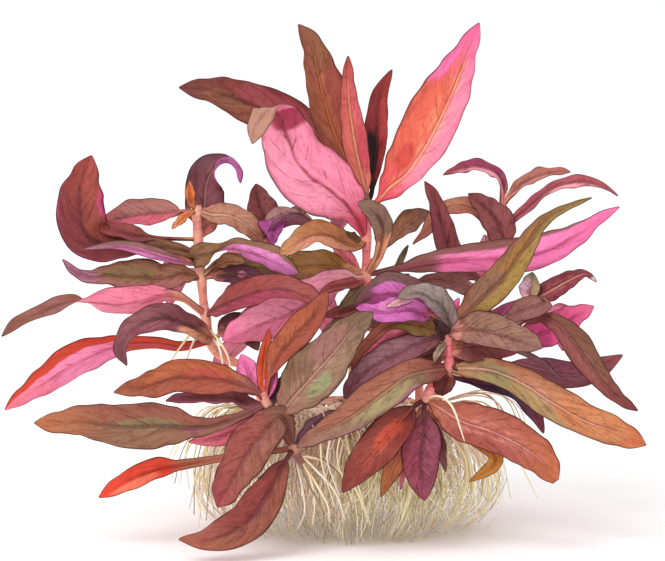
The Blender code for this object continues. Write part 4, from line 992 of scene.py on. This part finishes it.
leaf("left_leaf_long_pink", "leaf_pink", (3.2, 3, 5, 12, 14.6, 14, 11.6, 8.6, 7.2, 6, 0.6),
     (160, 160, 130, 40, 30),
     ["left_fifth", (-64, 91.4, -3), (-71, 93.2, -8), (-80, 91, -14), (-91, 89.6, -18), (-101, 90.4, -20),
      (-109, 90.4, -21), (-121, 86.2, -20), (-130, 82, -19), (-136.4, 76.8, -18)],
     ("945c54", "8c5048", "804c3c", "684038"),
     {"under": ("f888a4", "f890ac", "f08098", "d05c7c"), "stalk_tint": "e8a084", "mottle": 0.6,
      "patches": [("e8a084", 0.06, 0, 0.16, 3)]})
leaf("left_leaf_mauve_arched", "leaf_mauve", (5, 8, 10.4, 12.6, 13, 12, 9, 0.6), (25, 35, 50),
     ["left_sixth", (-60, 79.8, -8), (-72, 83.8, -20), (-83, 80.2, -24), (-88.2, 73, -25),
      (-86.6, 65.2, -25)],
     ("80464e", "8c4c58", "703c44", "50303c"),
     {"stalk_tint": "e09880", "patches": [("e8a880", 0.2, -0.75, 0.24, 0.65)]})
leaf("left_leaf_lowest_orange", "leaf_orange", (3, 4.8, 5.8, 6.8, 10.6, 15.4, 16.2, 13, 7.6, 0.6), (150, 150),
     ["left_sixth", (-66, 72.4, 1), (-76, 73.6, 0), (-87, 73.2, -2), (-97, 70.8, -3), (-106, 66.8, -4),
      (-116, 60.8, -4), (-126, 54.4, -4), (-136.2, 47.2, -4)],
     ("c04830", "b84430", "c84c30", "903020"),
     {"under": ("f890b8", "f88cb8", "f07888", "d86084"), "strip": ("cc4028", 1, 0.42), "mottle": 0.4,
      "stalk_tint": "c84430", "patches": [("cc4830", 0.16, 0, 0.27, 3)]})
leaf("left_leaf_crimson", "leaf_red", (3, 9, 13, 14.5, 14, 12, 9, 0.6), (40, 35),
     ["left_fifth", (-44, 91, -8), (-30, 95.6, -18), (-18, 94, -23), (-8.6, 90, -24)],
     ("94403c", "9c3c50", "9c4c48", "682834"), {"stalk_tint": "94484c"})
pale_roots("left_air_roots", "stem_left", [
    (0.6, 0.4, [(-54, 78, 5), (-60, 79, 0), (-65.4, 73, -4), (-71, 64.8, -6)]),
    (0.5, 0.1, [(-54, 77, 5), (-59, 77, 0), (-62.4, 70, -4), (-64.4, 63, -6)]),
    (0.6, 0.4, [(-54.4, 79, 5), (-51, 75.6, -1), (-47, 69, -4), (-45, 60, -5)]),
    (0.5, 0.1, [(-54, 77, 5), (-50.4, 72, -1), (-49, 66, -4), (-47.4, 58, -5)]),
])


# Back left stem: a shorter stalk behind the gap between the left and the main stem. Its leaves are thin
# soft blades, and most of them turn to the back of the clump.
stem("back_left", 1.8, "dc8478", "e89c84",
     [(-31.5, 119, 18), (-30, 108, 18), (-27, 92, 18), (-22, 76, 17), *foot(-17, 14)])
leaf("back_left_leaf_upright", "leaf_brown", (6, 12.4, 12.6, 8.4, 0.6), (15,),
     [(-30.2, 120, 18.5), (-32.8, 125.8, 19.4), (-34.8, 132, 20), (-35.8, 138, 20)],
     ("8c4c48", "945450", "844448", "6c3834"), {"stalk_tint": "905048"}, home="back_left_tip", stalk=0.02,
     rows=44)
leaf("back_left_leaf_purple", "leaf_mauve", 14, (60, 120),
     ["back_left_middle", (-16, 120, 13), (-24, 121, 8), (-32.8, 115.6, 6)],
     ("b08078", "a87870", "a06c68", "8c5c58"), {"under": ("a87480", "a06c7c", "a84c90", "883478")}, stalk=0.3,
     rows=44)
small_leaves("back_left", [
    ("small_olive", 6, (30,), ["back_left_tip", (-22, 124, 21), (-14, 129.5, 21), (-9, 126.5, 20)],
     ("7a6248", "806848", "70583c", "9c8058"), {}, {}),
    ("pale_mound", 7.6, (30,), ["back_left_tip", (-29, 123.2, 13), (-22.6, 125.8, 13.6), (-16.6, 124.8, 14)],
     ("b08480", "a07070", "9c7070", "8c605c"), {"stalk_tint": "a87c74"}, SEATED),
    ("purple_triangle", (11, 13, 10, 5, 0.6), (20,), [(-28, 123, 12), (-28.6, 118.6, 5), (-29.2, 112.8, 4)],
     ("a84490", "a04088", "a84c90", "8c3c78"), {"stalk_tint": "a84c8c", "rib": 0.1}, SEATED),
    ("back_left", 17, (20, 0), ["back_left_middle", (-36, 110, 40), (-42, 106, 62), (-44, 92, 82)],
     ("8c4a40", "945044", "7c4038", "d08868"), {}, BACK_LEAF),
    ("back_right", 16, (20, 0), ["back_left_low", (-18, 92, 40), (-10, 86, 62), (-6, 74, 80)],
     ("6e4a3c", "785040", "644034", "b88058"), {}, BACK_LEAF),
    ("low_back", 15, (10, 0), [(-23, 78, 17), (-34, 78, 36), (-46, 70, 54), (-54, 56, 68)],
     ("9a5648", "a05c4c", "8c4c40", "d89070"), {}, BACK_LEAF),
])


# Front left stem: a short pink side shoot that leans out of the roots. It carries the broad front leaves,
# and the lowest hang in front of the roots.
stem("front_left", 1.6, "f08890", "98605c",
     [(-32.4, 55, -45), (-30.8, 50.4, -45), (-26, 41.6, -46), (-20.4, 33, -48), (-17, 27, -48.5)])
small_leaves("front_left", [
    ("wavy_mauve", (2.5, 6, 8, 6.6, 6, 5.6, 4.4, 0.6), (30,),
     ["front_left_tip", (-38, 50.4, -41), (-44, 53, -38), (-54, 52.8, -34), (-62, 52.6, -33),
      (-71, 51.4, -32)],
     ("8c4c54", "84444c", "945868", "703c40"), {"stalk_tint": "945058", "strip": ("c87c88", -1, 0.7)},
     {"ripple": 1, "rows": 44}),
    ("low_pink", 9, (165,), [(-29, 48, -45.4), (-39, 42, -46.4), (-51, 37, -46), (-61.6, 35.4, -45)],
     ("8c5048", "844844", "744040", "5c3030"), {"under": ("e87c8c", "f08494", "e87888", "b84860")},
     {"rows": 44}),
    ("small_red", 6, (10,), [(-32, 53, -44.8), (-32, 64, -38), (-30, 80, -35)],
     ("c84820", "b83c24", "c04020", "e8703c"), {"stalk_tint": "d8543c"}, {}),
    ("small_pink", 11, (10,), [(-32, 53, -44.8), (-37, 60, -37), (-41, 70, -33)],
     ("f484bc", "ec78b0", "e870a8", "d05c94"), {"stalk_tint": "f08898"}, {}),
    ("inner_pink", 4.4, (10,), [(-31, 52, -45), (-29, 58, -42.5), (-27, 65, -40)],
     ("e878b8", "dc70a4", "d870a0", "c05890"), {"stalk_tint": "e08090"}, {}),
    ("dark_between", 4.4, (10,), [(-29, 50, -45), (-26, 57, -40), (-23, 63, -38)],
     ("58303c", "4c2834", "583040", "6c4048"), {"stalk_tint": "6c3c44"}, SEATED),
    # dark_low is no leaf: it is a sheet of painted shade behind the pale roots, darkening the gaps between
    # them.
    ("dark_low", 6, (10,), [(-19, 34, -47), (-12, 42, -43), (-4, 48, -41)],
     ("84586c", "744c60", "84606c", "6c4850"), {"stalk_tint": "684450"}, SEATED),
])
leaf("front_leaf_orange_brown", "leaf_orange", (3, 8, 13, 14.4, 14.4, 12, 7, 0.6), (20,),
     [(-34, 54.6, -45.5), (-41, 58, -44), (-50, 59.8, -43), (-65.5, 60.8, -42), (-75.2, 58, -43),
      (-91, 55, -44)],
     ("a8542e", "9c4a34", "985438", "6c3020"),
     {"stalk_tint": "8c483c", "patches": [("a84434", 0.35, 0.2, 0.18, 0.4)]}, home="front_left_tip")
leaf("front_leaf_long_brown", "leaf_brown", (3, 4, 6, 8.5, 15, 18.6, 18.6, 16, 12.5, 9, 0.6),
     (20, 15, 15, 25),
     ["front_left_tip", (-41, 45.6, -48.6), (-55, 41.4, -51.5), (-71, 42, -54), (-86.4, 41.6, -55),
      (-96.8, 42.8, -54), (-104, 43.8, -53), (-113, 43, -52), (-122, 43.2, -51)],
     ("8c5040", "885c44", "a86038", "5c3c30"),
     {"stalk_tint": "884a4c", "patches": [("806848", 0.5, 0.1, 0.16, 0.3), ("90505c", 0.3, -0.3, 0.06, 0.3)]})
leaf("front_leaf_hanging", "leaf_red", (9, 15, 17.4, 17.2, 15, 11.4, 0.6), (12,),
     [(-24.6, 45, -52), (-29.6, 42, -56), (-35.6, 35.4, -58.6), (-41, 26.6, -59.4), (-46, 17.8, -60),
      (-50, 10.2, -60)],
     ("944840", "8c5040", "9c4448", "7c3c34"), {"stalk_tint": "7c4c3c", "rib": 0.3},
     home="front_left_low", stalk=0.02)
leaf("front_leaf_broad_olive", "leaf_olive", (2, 12, 19, 21.6, 20.6, 17.6, 13.6, 9, 0.6), (12,),
     [(-26, 46.6, -50.2), (-20.4, 53, -51.4), (-12.2, 62, -51), (-3.8, 71.6, -50), (3.8, 80.8, -48),
      (11, 86.6, -46.5)],
     ("7c5c44", "886850", "70543e", "e0a894"),
     {"stalk_tint": "906050", "rib": 0.4,
      "patches": [("86845a", 0.36, -0.45, 0.12, 0.3), ("94645c", 0.62, 0.45, 0.2, 0.5)]},
     home="front_left_tip", stalk=0.02)
leaf("front_leaf_upright_orange", "leaf_orange", 13.4, (25,),
     [(-30.4, 57.8, -43.5), (-26.6, 68.4, -42), (-19.8, 77, -41), (-12.6, 84.4, -39), (-6.8, 95, -37)],
     ("a4502e", "984630", "94442e", "743020"), {"stalk_tint": "a84c38"}, home="front_left_tip", belly=0.5,
     rows=44)
leaf("front_leaf_low_orange_red", "leaf_orange", (2.4, 2.6, 3, 3.4, 3.8, 4.4, 8.5, 10, 7.5, 0.6), (20,),
     ["front_left_low", (-32, 31.4, -50.5), (-44, 29.6, -48.5), (-56, 27.8, -46.5), (-66.8, 26, -46),
      (-74, 24.8, -46), (-81.6, 21.6, -46), (-89.2, 18, -46), (-97, 13.6, -46)],
     ("e84c2c", "e04428", "d83c24", "c42c1c"),
     {"stalk_tint": "a86850", "mottle": 0.5,
      "patches": [("b07054", 0.3, 0, 0.3, 3), ("f07858", 0.8, -0.5, 0.15, 0.5)]})
leaf("front_leaf_lowest", "leaf_red", 16, (10, 10, 30),
     ["front_left_low", (-24.8, 26, -57), (-28.6, 18.6, -62), (-32.4, 12.6, -67), (-38, 5, -71),
      (-45.6, 0.4, -74), (-55, -2.4, -75.4), (-64.8, -1.6, -76)],
     ("8c3c38", "8c4834", "a05a44", "602c28"),
     {"stalk_tint": "7c3c34", "strip": ("e0889c", 1, 0.9), "patches": [("803030", 0.4, 0.15, 0.2, 0.4)]},
     belly=0.48)


# Right stem: a pink stalk in front of the clump's middle, with its leaves in two close tiers. They leave it
# so close together that each lies over the next.
stem("right", 2.0, "f4808c", "e88878", [(39.8, 82, -28), (40, 78, -28), (40.8, 64, -28), *foot(35, -10)])
small_leaves("right", [
    ("violet_lobe", (2.5, 7.5, 10, 11, 9.5, 5.5, 0.6), (20,),
     [(33, 84, -30), (25.8, 87.4, -36.5), (15.7, 86.4, -38), (10, 87.2, -37.4), (4.2, 88.4, -36)],
     ("d878c0", "c868b0", "c860ac", "b04c98"), {"mottle": 0.7, "rib": 0.2, "stalk_tint": "d46cac"},
     {"ripple": 1.2, "rows": 44}),
    ("pale_fold", 3.6, (20,), [(26.4, 91.6, -34), (22, 90.6, -37), (16, 88.6, -38.6)],
     ("e0b0b0", "d8a0a8", "e0b4b4", "c08888"), {"stalk_tint": "d8a8a8", "rib": 0.1}, SEATED),
    ("low_brown", 15, (20,), [(40.5, 72, -28), (54, 73.4, -32), (68, 70.6, -33)],
     ("80483c", "7c4440", "983c54", "a86858"), {}, {"stalk": 0.02, "rows": 44}),
    ("low_fill", 9, (20,), [(40.6, 71, -27.6), (46, 67, -29), (56, 65, -31)],
     ("7c4440", "743c3c", "84404c", "986058"), {}, SEATED),
    ("low_left_brown", 12, (20,), [(40.4, 72, -28), (31, 69.4, -33), (20, 64, -35)],
     ("8c5044", "804840", "7c4440", "a06c58"), {}, SEATED),
    ("pale_oval", 3.6, (20,), [(39.4, 74, -30), (36.8, 71, -34.6), (35, 66.4, -35.4)],
     ("b8a488", "a89478", "a88c74", "807058"), {"stalk_tint": "a89078"}, SEATED),
    ("small_dark", 9, (10,), [(40.8, 63, -28), (39, 58, -31), (37, 53, -33)],
     ("7c3a34", "743430", "6c302c", "944c40"), {}, {}),
    ("low_purple", 9, (30,),
     [(40.6, 61, -27.6), (52, 58.5, -30), (63, 56.5, -33), (72, 51, -36), (78.4, 38.6, -37)],
     ("6c3048", "4c3050", "7c3048", "7c5068"), {"stalk_tint": "5c3048"}, {"belly": 0.6, "rows": 44}),
    ("pink_bits", 6, (150,), [(40, 80, -26), (43, 86, -16), (45.4, 92, -10)],
     ("a05050", "984848", "904444", "783838"), {"under": ("f070a8", "e85c90", "e85890", "b03c5c")}, {}),
    ("violet_bits", 7, (20,), [(41, 74, -27), (56, 82, -14), (64, 88, -10), (68, 91, -9)],
     ("8c3058", "843058", "943860", "782850"), {"stalk_tint": "8c4048"}, {}),
    ("dark_stub", 5.6, (20,), [(39.8, 76.4, -28.6), (38.6, 78.6, -34), (37, 81, -35.4), (35, 83.8, -36)],
     ("3c2024", "301a20", "3c2024", "502c30"), {"stalk_tint": "2c181c"}, SEATED),
    ("back", 12, (20, 0), [(40.6, 68, -28), (60, 72.4, -22), (76, 67, -17), (86, 60.4, -12)],
     ("8a5848", "906050", "7c4c40", "c88468"), {"under": ("84485c", "7c4450", "7c4450", "5c3040")},
     BACK_LEAF),
])
leaf("right_leaf_mauve", "leaf_mauve", (5, 9, 11, 12.4, 12.6, 11.6, 9.4, 6, 0.6), (25,),
     ["right_tip", (28, 73.6, -36), (18.8, 69.2, -41), (10, 64.6, -45), (2.8, 57.8, -48.4),
      (-0.4, 52.4, -49)],
     ("90606c", "8c5460", "744450", "7c505c"),
     {"mottle": 1.1, "stalk_tint": "784440", "rib": 0.3, "strip": ("b060a8", -1, 0.85)})
leaf("right_leaf_grey_arched", "leaf_olive", (4, 8, 11, 12, 11, 8, 0.6), (15, 30, 40, 45),
     [(41, 77.4, -28.6), (41.4, 81.4, -30), (39.4, 86.8, -33.5), (35, 91, -37.5), (28, 94, -41),
      (20.4, 92, -43)],
     ("948480", "887874", "847068", "5c4c48"),
     {"stalk_tint": "94747c", "strip": ("a070a0", -1, 0.85)}, home="right_tip", ripple=1)
leaf("right_leaf_golden", "leaf_olive", (3, 8, 12, 13.5, 13, 11, 8, 5.4, 3.6, 2.4, 0.6), (10,),
     [(42.7, 81.5, -28.8), (48.2, 86.4, -31), (53.6, 91.8, -33), (59.4, 97, -34), (64.6, 103, -34.5),
      (68.2, 108.4, -35), (71.8, 113.8, -35), (74.4, 118, -34), (77.6, 121.8, -33), (82.6, 125.4, -32.5),
      (88, 128, -32), (97, 131.6, -31)],
     ("8c5e3c", "947434", "8c703c", "6c4c28"),
     {"stalk_tint": "985c48", "patches": [("986834", 0.55, 0.2, 0.2, 0.4), ("886048", 0.25, 0.3, 0.14, 0.6)]},
     home="right_tip")
leaf("right_leaf_grey_brown", "leaf_brown", (4, 10, 14, 15.4, 15.8, 15, 13, 9.4, 0.6), (30,),
     ["right_tip", (49, 79.6, -36), (58, 78.4, -42), (68, 75.2, -46), (77.2, 72.6, -50)],
     ("8c6450", "94685c", "845c50", "6c4438"), {"veins": 0.9, "stalk_tint": "d89084"})
leaf("right_leaf_long_left", "leaf_brown", (5.5, 9, 11.5, 13, 14.4, 14.6, 13.6, 11, 7, 0.6), (15,),
     ["right_low", (26, 62, -48), (16.6, 56, -55), (6.8, 48.8, -60), (0, 44.4, -63), (-8.8, 39.8, -65.5),
      (-19, 34, -67)],
     ("9c5e48", "8c7056", "8c5c4c", "b88868"),
     {"strip": ("94506c", -1, 0.85), "stalk_tint": "94504c", "patches": [("94845c", 0.5, -0.4, 0.2, 0.4)]})
leaf("right_leaf_long_orange", "leaf_orange", (4, 8.5, 10.5, 11.5, 13, 14.5, 14.5, 13, 12.5, 9.5, 0.6), (15,),
     ["right_low", (54, 64, -37), (62, 62, -41), (70.4, 58, -45), (81.2, 51, -49), (93.6, 44, -51),
      (104.8, 40, -52), (118, 34.4, -52)],
     ("ac704c", "a48658", "c46c44", "f0b4a0"),
     {"stalk_tint": "b0885c", "patches": [("c47c50", 0.72, 0.2, 0.2, 1.2), ("94885c", 0.2, -0.3, 0.14, 0.9)]})
leaf("right_leaf_purple_twisted", "leaf_mauve", 17, (150, 160, 140),
     [(37, 84, -25), (28, 91.6, -29), (15, 94, -31), (3, 89.6, -31)],
     ("70484c", "6c4448", "684048", "503038"),
     {"under": ("d070b8", "d464b0", "c058a8", "a04088"), "strip": ("785050", 1, 0.5), "mottle": 0.7,
      "rib": 0.2,
      "patches": [("7c4c54", 0.95, 0.3, 0.2, 1)]}, home="right_tip", ripple=1.2, rows=44)
joined_leaves("right_leaf_gold_curled_blade", "right_leaf_gold_curled", [
    ("rim", (4, 8.4, 9.6, 7.6, 5.2, 4.6, 4.2, 3.6, 0.6), (12,),
     [(38.6, 78.4, -28.5), (32, 81, -30.6), (27.5, 81.8, -32.6), (21.3, 82.6, -35), (15.7, 80.6, -37),
      (10.6, 76.2, -38.6), (5.6, 70.6, -39.6), (2.6, 64, -40)],
     ("8c7844", "8c6c3c", "984c38", "9c6040"),
     {"stalk_tint": "8c6c38", "patches": [("98503c", 0.66, -0.2, 0.2, 1.6)]},
     {"home": "right_tip", "rows": 64}),
    ("inside", (1.5, 8, 10.6, 10, 8, 5.6, 0.6), (12,),
     [(28, 78.6, -32), (21.6, 77.4, -33.6), (14.6, 74, -34.2), (8.9, 70, -34.6), (3.4, 64.4, -35)],
     ("f08098", "f07490", "e8607c", "c84c6c"), {"stalk_tint": "e06478", "mottle": 0.7, "rib": 0.5},
     {"stalk": 0.02, "rows": 44}),
])


# Low right stem: a stub that leans out of the right stem's foot and lets its leaves hang over the roots.
# One pale air root arches forward from it.
stem("low_right", 1.8, "f08898", "f0908c",
     [(33.5, 57, -43), (31.6, 52, -43), (29.5, 46, -40), (27.5, 41, -35)])
small_leaves("low_right", [
    ("small_orange", 9, (10,), [(31, 50, -42.5), (22, 33, -51), (14, 14, -54)],
     ("c07444", "c87c4c", "b86c3c", "f0b090"), {}, {}),
    ("small_gold", 7, (20,),
     [(30.2, 48, -41.4), (45, 40, -46), (56.6, 33, -51), (58, 27, -53), (48.7, 20.2, -55)],
     ("c88634", "d08c3c", "b87828", "a06424"), {"stalk_tint": "b07858"}, {"belly": 0.6, "rows": 44}),
    ("pink_sliver", 4, (20,), [(29, 46, -40.5), (24, 30, -51), (21.6, 17, -54)],
     ("e88890", "e07c88", "d87484", "c05c70"), {}, {}),
    ("brown_hanging", 5, (20,), [(30, 48, -42), (36, 38, -50), (39.4, 24, -55)],
     ("7c4c48", "744440", "8c5850", "a07068"), {}, {}),
])
pale_roots("low_right_pale_root", "stem_low_right", [
    (0.6, 0.6, [(31.8, 52.4, -43), (37, 53.6, -52), (42, 49.2, -62), (46.4, 36.4, -67)]),
])
leaf("low_right_leaf_red_brown", "leaf_red", 16, (15,),
     [(28.6, 50.6, -45.6), (24, 46.4, -52), (16, 37.2, -61), (8, 28, -66), (2, 20.8, -69), (-1.2, 16.4, -70)],
     ("8c3c30", "843228", "7c2c28", "d05a40"),
     {"stalk_tint": "5c3034", "heart": 0.5, "patches": [("c04c34", 0.4, 0.1, 0.2, 0.35)]},
     home="low_right_tip", cup=0.35, belly=0.46)
leaf("low_right_leaf_maroon", "leaf_red", 16, (0,),
     [(31, 48.4, -46.4), (30.8, 39.2, -54), (29.4, 29.2, -58.5), (30, 21.2, -61.5), (30.8, 13, -64)],
     ("943c50", "84344c", "84384c", "582438"), {"stalk_tint": "6c3c34", "veins": 1, "mottle": 1.2},
     home="low_right_tip", belly=0.48)
leaf("low_right_leaf_wide", "leaf_brown", (3, 9, 14.5, 17.5, 18.2, 18, 17, 15, 11, 3), (20,),
     ["low_right_tip", (45.2, 44, -54), (56, 40.4, -60), (66, 35.8, -64), (75.4, 29.4, -67), (82, 20.6, -68)],
     ("a4523e", "a04e44", "b86440", "f0a498"), {"stalk_tint": "b0684c", "heart": 0.4})


# Back right stem: a tall pale pink stalk behind the right one. Three narrow leaves arch from its tip, and
# broader ones stand at the joints below.
stem("back_right", 1.8, "e8909c", "ec9c90",
     [(64, 130, 41), (62.5, 118, 40), (60, 104, 38), (55, 90, 34), (45, 74, 26), *foot(30, 14)])
small_leaves("back_right", [
    ("small_arch", 9, (40,),
     ["back_right_middle", (57, 124.1, 38), (50, 128.4, 35.5), (43.6, 128.8, 34), (38.4, 125.8, 33),
      (34, 119.8, 32), (27.5, 113.6, 31)],
     ("c08468", "b87058", "b06c54", "e0a888"), {}, {"rows": 44}),
    ("mauve_behind", 9, (30,), ["back_right_low", (46, 97, 20), (36, 99, 15), (27, 97, 12)],
     ("885048", "8c5450", "7c4844", "a86c60"), {}, {}),
    ("back_long", 16, (20, 0), [(61, 108, 38.5), (64, 114, 60), (62, 108, 80), (58, 94, 96)],
     ("8a4a44", "925048", "7c403c", "cc8468"), {}, BACK_LEAF),
    ("back_low", 16, (20, 0), [(51, 84, 31), (46, 88, 52), (38, 82, 72), (34, 70, 88)],
     ("7a5440", "825c48", "6c4838", "c08860"), {}, BACK_LEAF),
])
leaf("back_right_leaf_inner_upright", "leaf_red", (3, 7.5, 11, 11, 9.5, 7.6, 5.4, 0.6), (15,),
     [(54.2, 99.6, 34.5), (46, 104.8, 31), (41.2, 113.4, 29), (39.6, 119.8, 27.5), (37.8, 126, 26.6),
      (36, 132, 26), (32.2, 139, 25)],
     ("944850", "a05458", "984c4c", "682c38"), {"stalk_tint": "8c4448"}, home="back_right_low")
leaf("back_right_leaf_upright", "leaf_red", (7, 13, 13.6, 11.5, 7, 0.6), (15,),
     [(64.4, 113.8, 36.2), (62.4, 121.2, 35), (58, 127.4, 34), (50, 134.2, 33)],
     ("985050", "a05a5c", "8c4448", "74383c"), {"stalk_tint": "9c5450"}, home="back_right_middle", stalk=0.02,
     rows=44)
leaf("back_right_leaf_crimson_arch", "leaf_red", (2.6, 5, 7, 8, 8, 7, 5, 0.6), (50,),
     [(63.8, 131.8, 43), (64.2, 137.4, 43.6), (61.4, 142.6, 43.4), (54.4, 145, 42), (47, 144.2, 40),
      (40, 141.8, 38)],
     ("983858", "f0a0b0", "9c3c4c", "742c3c"), {"stalk_tint": "f09898"}, home="back_right_tip")
leaf("back_right_leaf_salmon_arch", "leaf_orange", (2.6, 5, 7.5, 8, 7, 5, 0.6), (50,),
     [(66, 131.6, 43), (69.4, 135.6, 45), (74.4, 139.6, 46.4), (80.4, 142, 47), (86, 143.2, 47.6),
      (92, 143.2, 48)],
     ("b06c5c", "c88478", "a86058", "8c4c44"), {"stalk_tint": "e8a088"}, home="back_right_tip")
leaf("back_right_leaf_long_arch", "leaf_red", (2.6, 4.4, 5.5, 6.6, 7.4, 7.6, 6.8, 5, 0.6), (50, 50, 60),
     ["back_right_middle", (67, 122, 38), (73.9, 128, 36), (80.7, 134, 34), (87.5, 137.4, 33),
      (94.4, 138.6, 32),
      (101.2, 137.8, 31.5), (106.7, 135.6, 31), (110.6, 133.2, 30)],
     ("a84c58", "f0a0a8", "a04c58", "843840"),
     {"stalk_tint": "d87c7c", "patches": [("b05c64", 0.3, -0.5, 0.2, 0.8)]})


# Far right stem: a slender pale stalk that leans out to the right. Its four large leaves spread one above
# another from its tip and its lowest joint.
stem("far_right", 1.4, "e8a890", "e8a094",
     [(74, 93, 12), (69, 84, 11), (62.4, 72, 9), (60.5, 65, 8), (53, 58.5, 6), *foot(38, 4)])
small_leaves("far_right", [
    ("round_mauve", 9, (20,), [(73, 90, 12), (74.6, 96, 12), (75.4, 102.4, 13)],
     ("d0a8bc", "a8946c", "8c8c60", "946078"), {"mottle": 0.6, "rib": 0.1}, {}),
    ("small_mauve", (2, 4, 8, 10, 10, 8, 0.6), (20,),
     ["far_right_tip", (80, 90.4, 7), (77, 88.8, 2), (71, 86.8, 1), (64, 83.4, 1)],
     ("96645c", "94605c", "8c5450", "a87c70"), {"stalk_tint": "94605c", "rib": 0.2}, {}),
    ("back", 15, (20, 0), [(66.5, 79, 10), (80, 86, 28), (88, 82, 48), (90, 70, 66)],
     ("84483e", "8c4e44", "784038", "c88064"), {}, BACK_LEAF),
])
leaf("far_right_leaf_dark_brown", "leaf_brown", (2, 4, 7.6, 10.4, 11.4, 11, 9.6, 7.4, 4.6, 0.6), (15,),
     [(73, 82.6, 9), (78.4, 84, 5), (84.8, 81.8, 1), (91, 75, -2), (97, 66.4, -5.5), (103.4, 57.8, -8.5),
      (109.5, 51.6, -11), (116.8, 47, -13)],
     ("94504c", "80503c", "7c3434", "a06058"), {"stalk_tint": "8c504c"}, home="far_right_tip")
leaf("far_right_leaf_mauve", "leaf_mauve", 12, (20,),
     [(63.6, 66, 6.4), (72, 65, 8.6), (79, 63.2, 9.6), (87.6, 61, 11), (96, 61.2, 12), (103, 63.8, 12.6),
      (112, 69, 13)],
     ("84485c", "7c4450", "94484c", "a8707c"), {"stalk_tint": "8c5060"}, home="far_right_low", belly=0.52)
leaf("far_right_leaf_pink", "leaf_pink", (3, 8, 12, 14, 13.4, 11, 7, 0.6), (20,),
     [(65.4, 71.6, 11.4), (74, 75.2, 15), (84, 79.4, 18), (94, 85, 19.6), (100.6, 88.6, 20)],
     ("fc6ca8", "f460a0", "fc78a8", "d04c8c"),
     {"mottle": 0.5, "stalk_tint": "d85494", "patches": [("d04c88", 0.3, 0, 0.2, 1.2)]},
     home="far_right_low")
leaf("far_right_leaf_dark_red", "leaf_red", (3, 8, 9.4, 9, 7.6, 5, 2.6, 0.6), (20,),
     [(76, 91, 12), (80.6, 93.6, 10.5), (86.4, 97, 9), (92, 100, 8), (96.6, 101.6, 7), (101, 98.4, 6)],
     ("7c2e3a", "883440", "843440", "e8a08c"),
     {"stalk_tint": "8c4044", "rib": 0.7, "patches": [("c8b4ac", 1, 0, 0.1, 2)]}, home="far_right_tip")


# The studio: a wide pale floor, soft white light from every side, one large lamp above the viewer's left
# shoulder, and a long lens at the picture's own height.
FLOOR_REACH = 12
VIEW_WIDE = 266
LENS = 300
SENSOR = 36
LAMP_SIZE = 1.2
LAMP_POWER = 22
LAMP_PLACE = (-0.9, -1.3, 1.5)

bm = bmesh.new()
bmesh.ops.create_grid(bm, x_segments=1, y_segments=1, size=FLOOR_REACH)
floor_mesh = bpy.data.meshes.new("floor")
bm.to_mesh(floor_mesh)
bm.free()
floor = bpy.data.objects.new("floor", floor_mesh)
bpy.context.scene.collection.objects.link(floor)
paper = bpy.data.materials.new("floor_paper")
paper.use_nodes = True
paper.node_tree.nodes["Principled BSDF"].inputs["Base Color"].default_value = (0.97, 0.97, 0.97, 1)
paper.node_tree.nodes["Principled BSDF"].inputs["Roughness"].default_value = 0.9
floor_mesh.materials.append(paper)

world = bpy.data.worlds.new("studio_air")
world.use_nodes = True
world.node_tree.nodes["Background"].inputs["Color"].default_value = (1, 1, 1, 1)
world.node_tree.nodes["Background"].inputs["Strength"].default_value = 1
bpy.context.scene.world = world

lamp_data = bpy.data.lights.new("soft_box", "AREA")
lamp_data.shape = "SQUARE"
lamp_data.size = LAMP_SIZE
lamp_data.energy = LAMP_POWER
lamp = bpy.data.objects.new("soft_box", lamp_data)
lamp.location = LAMP_PLACE
lamp.rotation_euler = (Vector((0, 0, 0.1)) - lamp.location).to_track_quat("-Z", "Y").to_euler()
bpy.context.scene.collection.objects.link(lamp)

camera_data = bpy.data.cameras.new("camera")
camera_data.lens = LENS
camera_data.sensor_width = SENSOR
camera_data.clip_end = 50
camera = bpy.data.objects.new("camera", camera_data)
middle = at(-5, 99, 0)
camera.location = middle + VIEW * (VIEW_WIDE * MM * LENS / SENSOR)
camera.rotation_euler = (math.radians(90) - VIEW_TILT, 0, 0)
bpy.context.scene.collection.objects.link(camera)
bpy.context.scene.camera = camera
bpy.context.scene.view_settings.view_transform = "Standard"
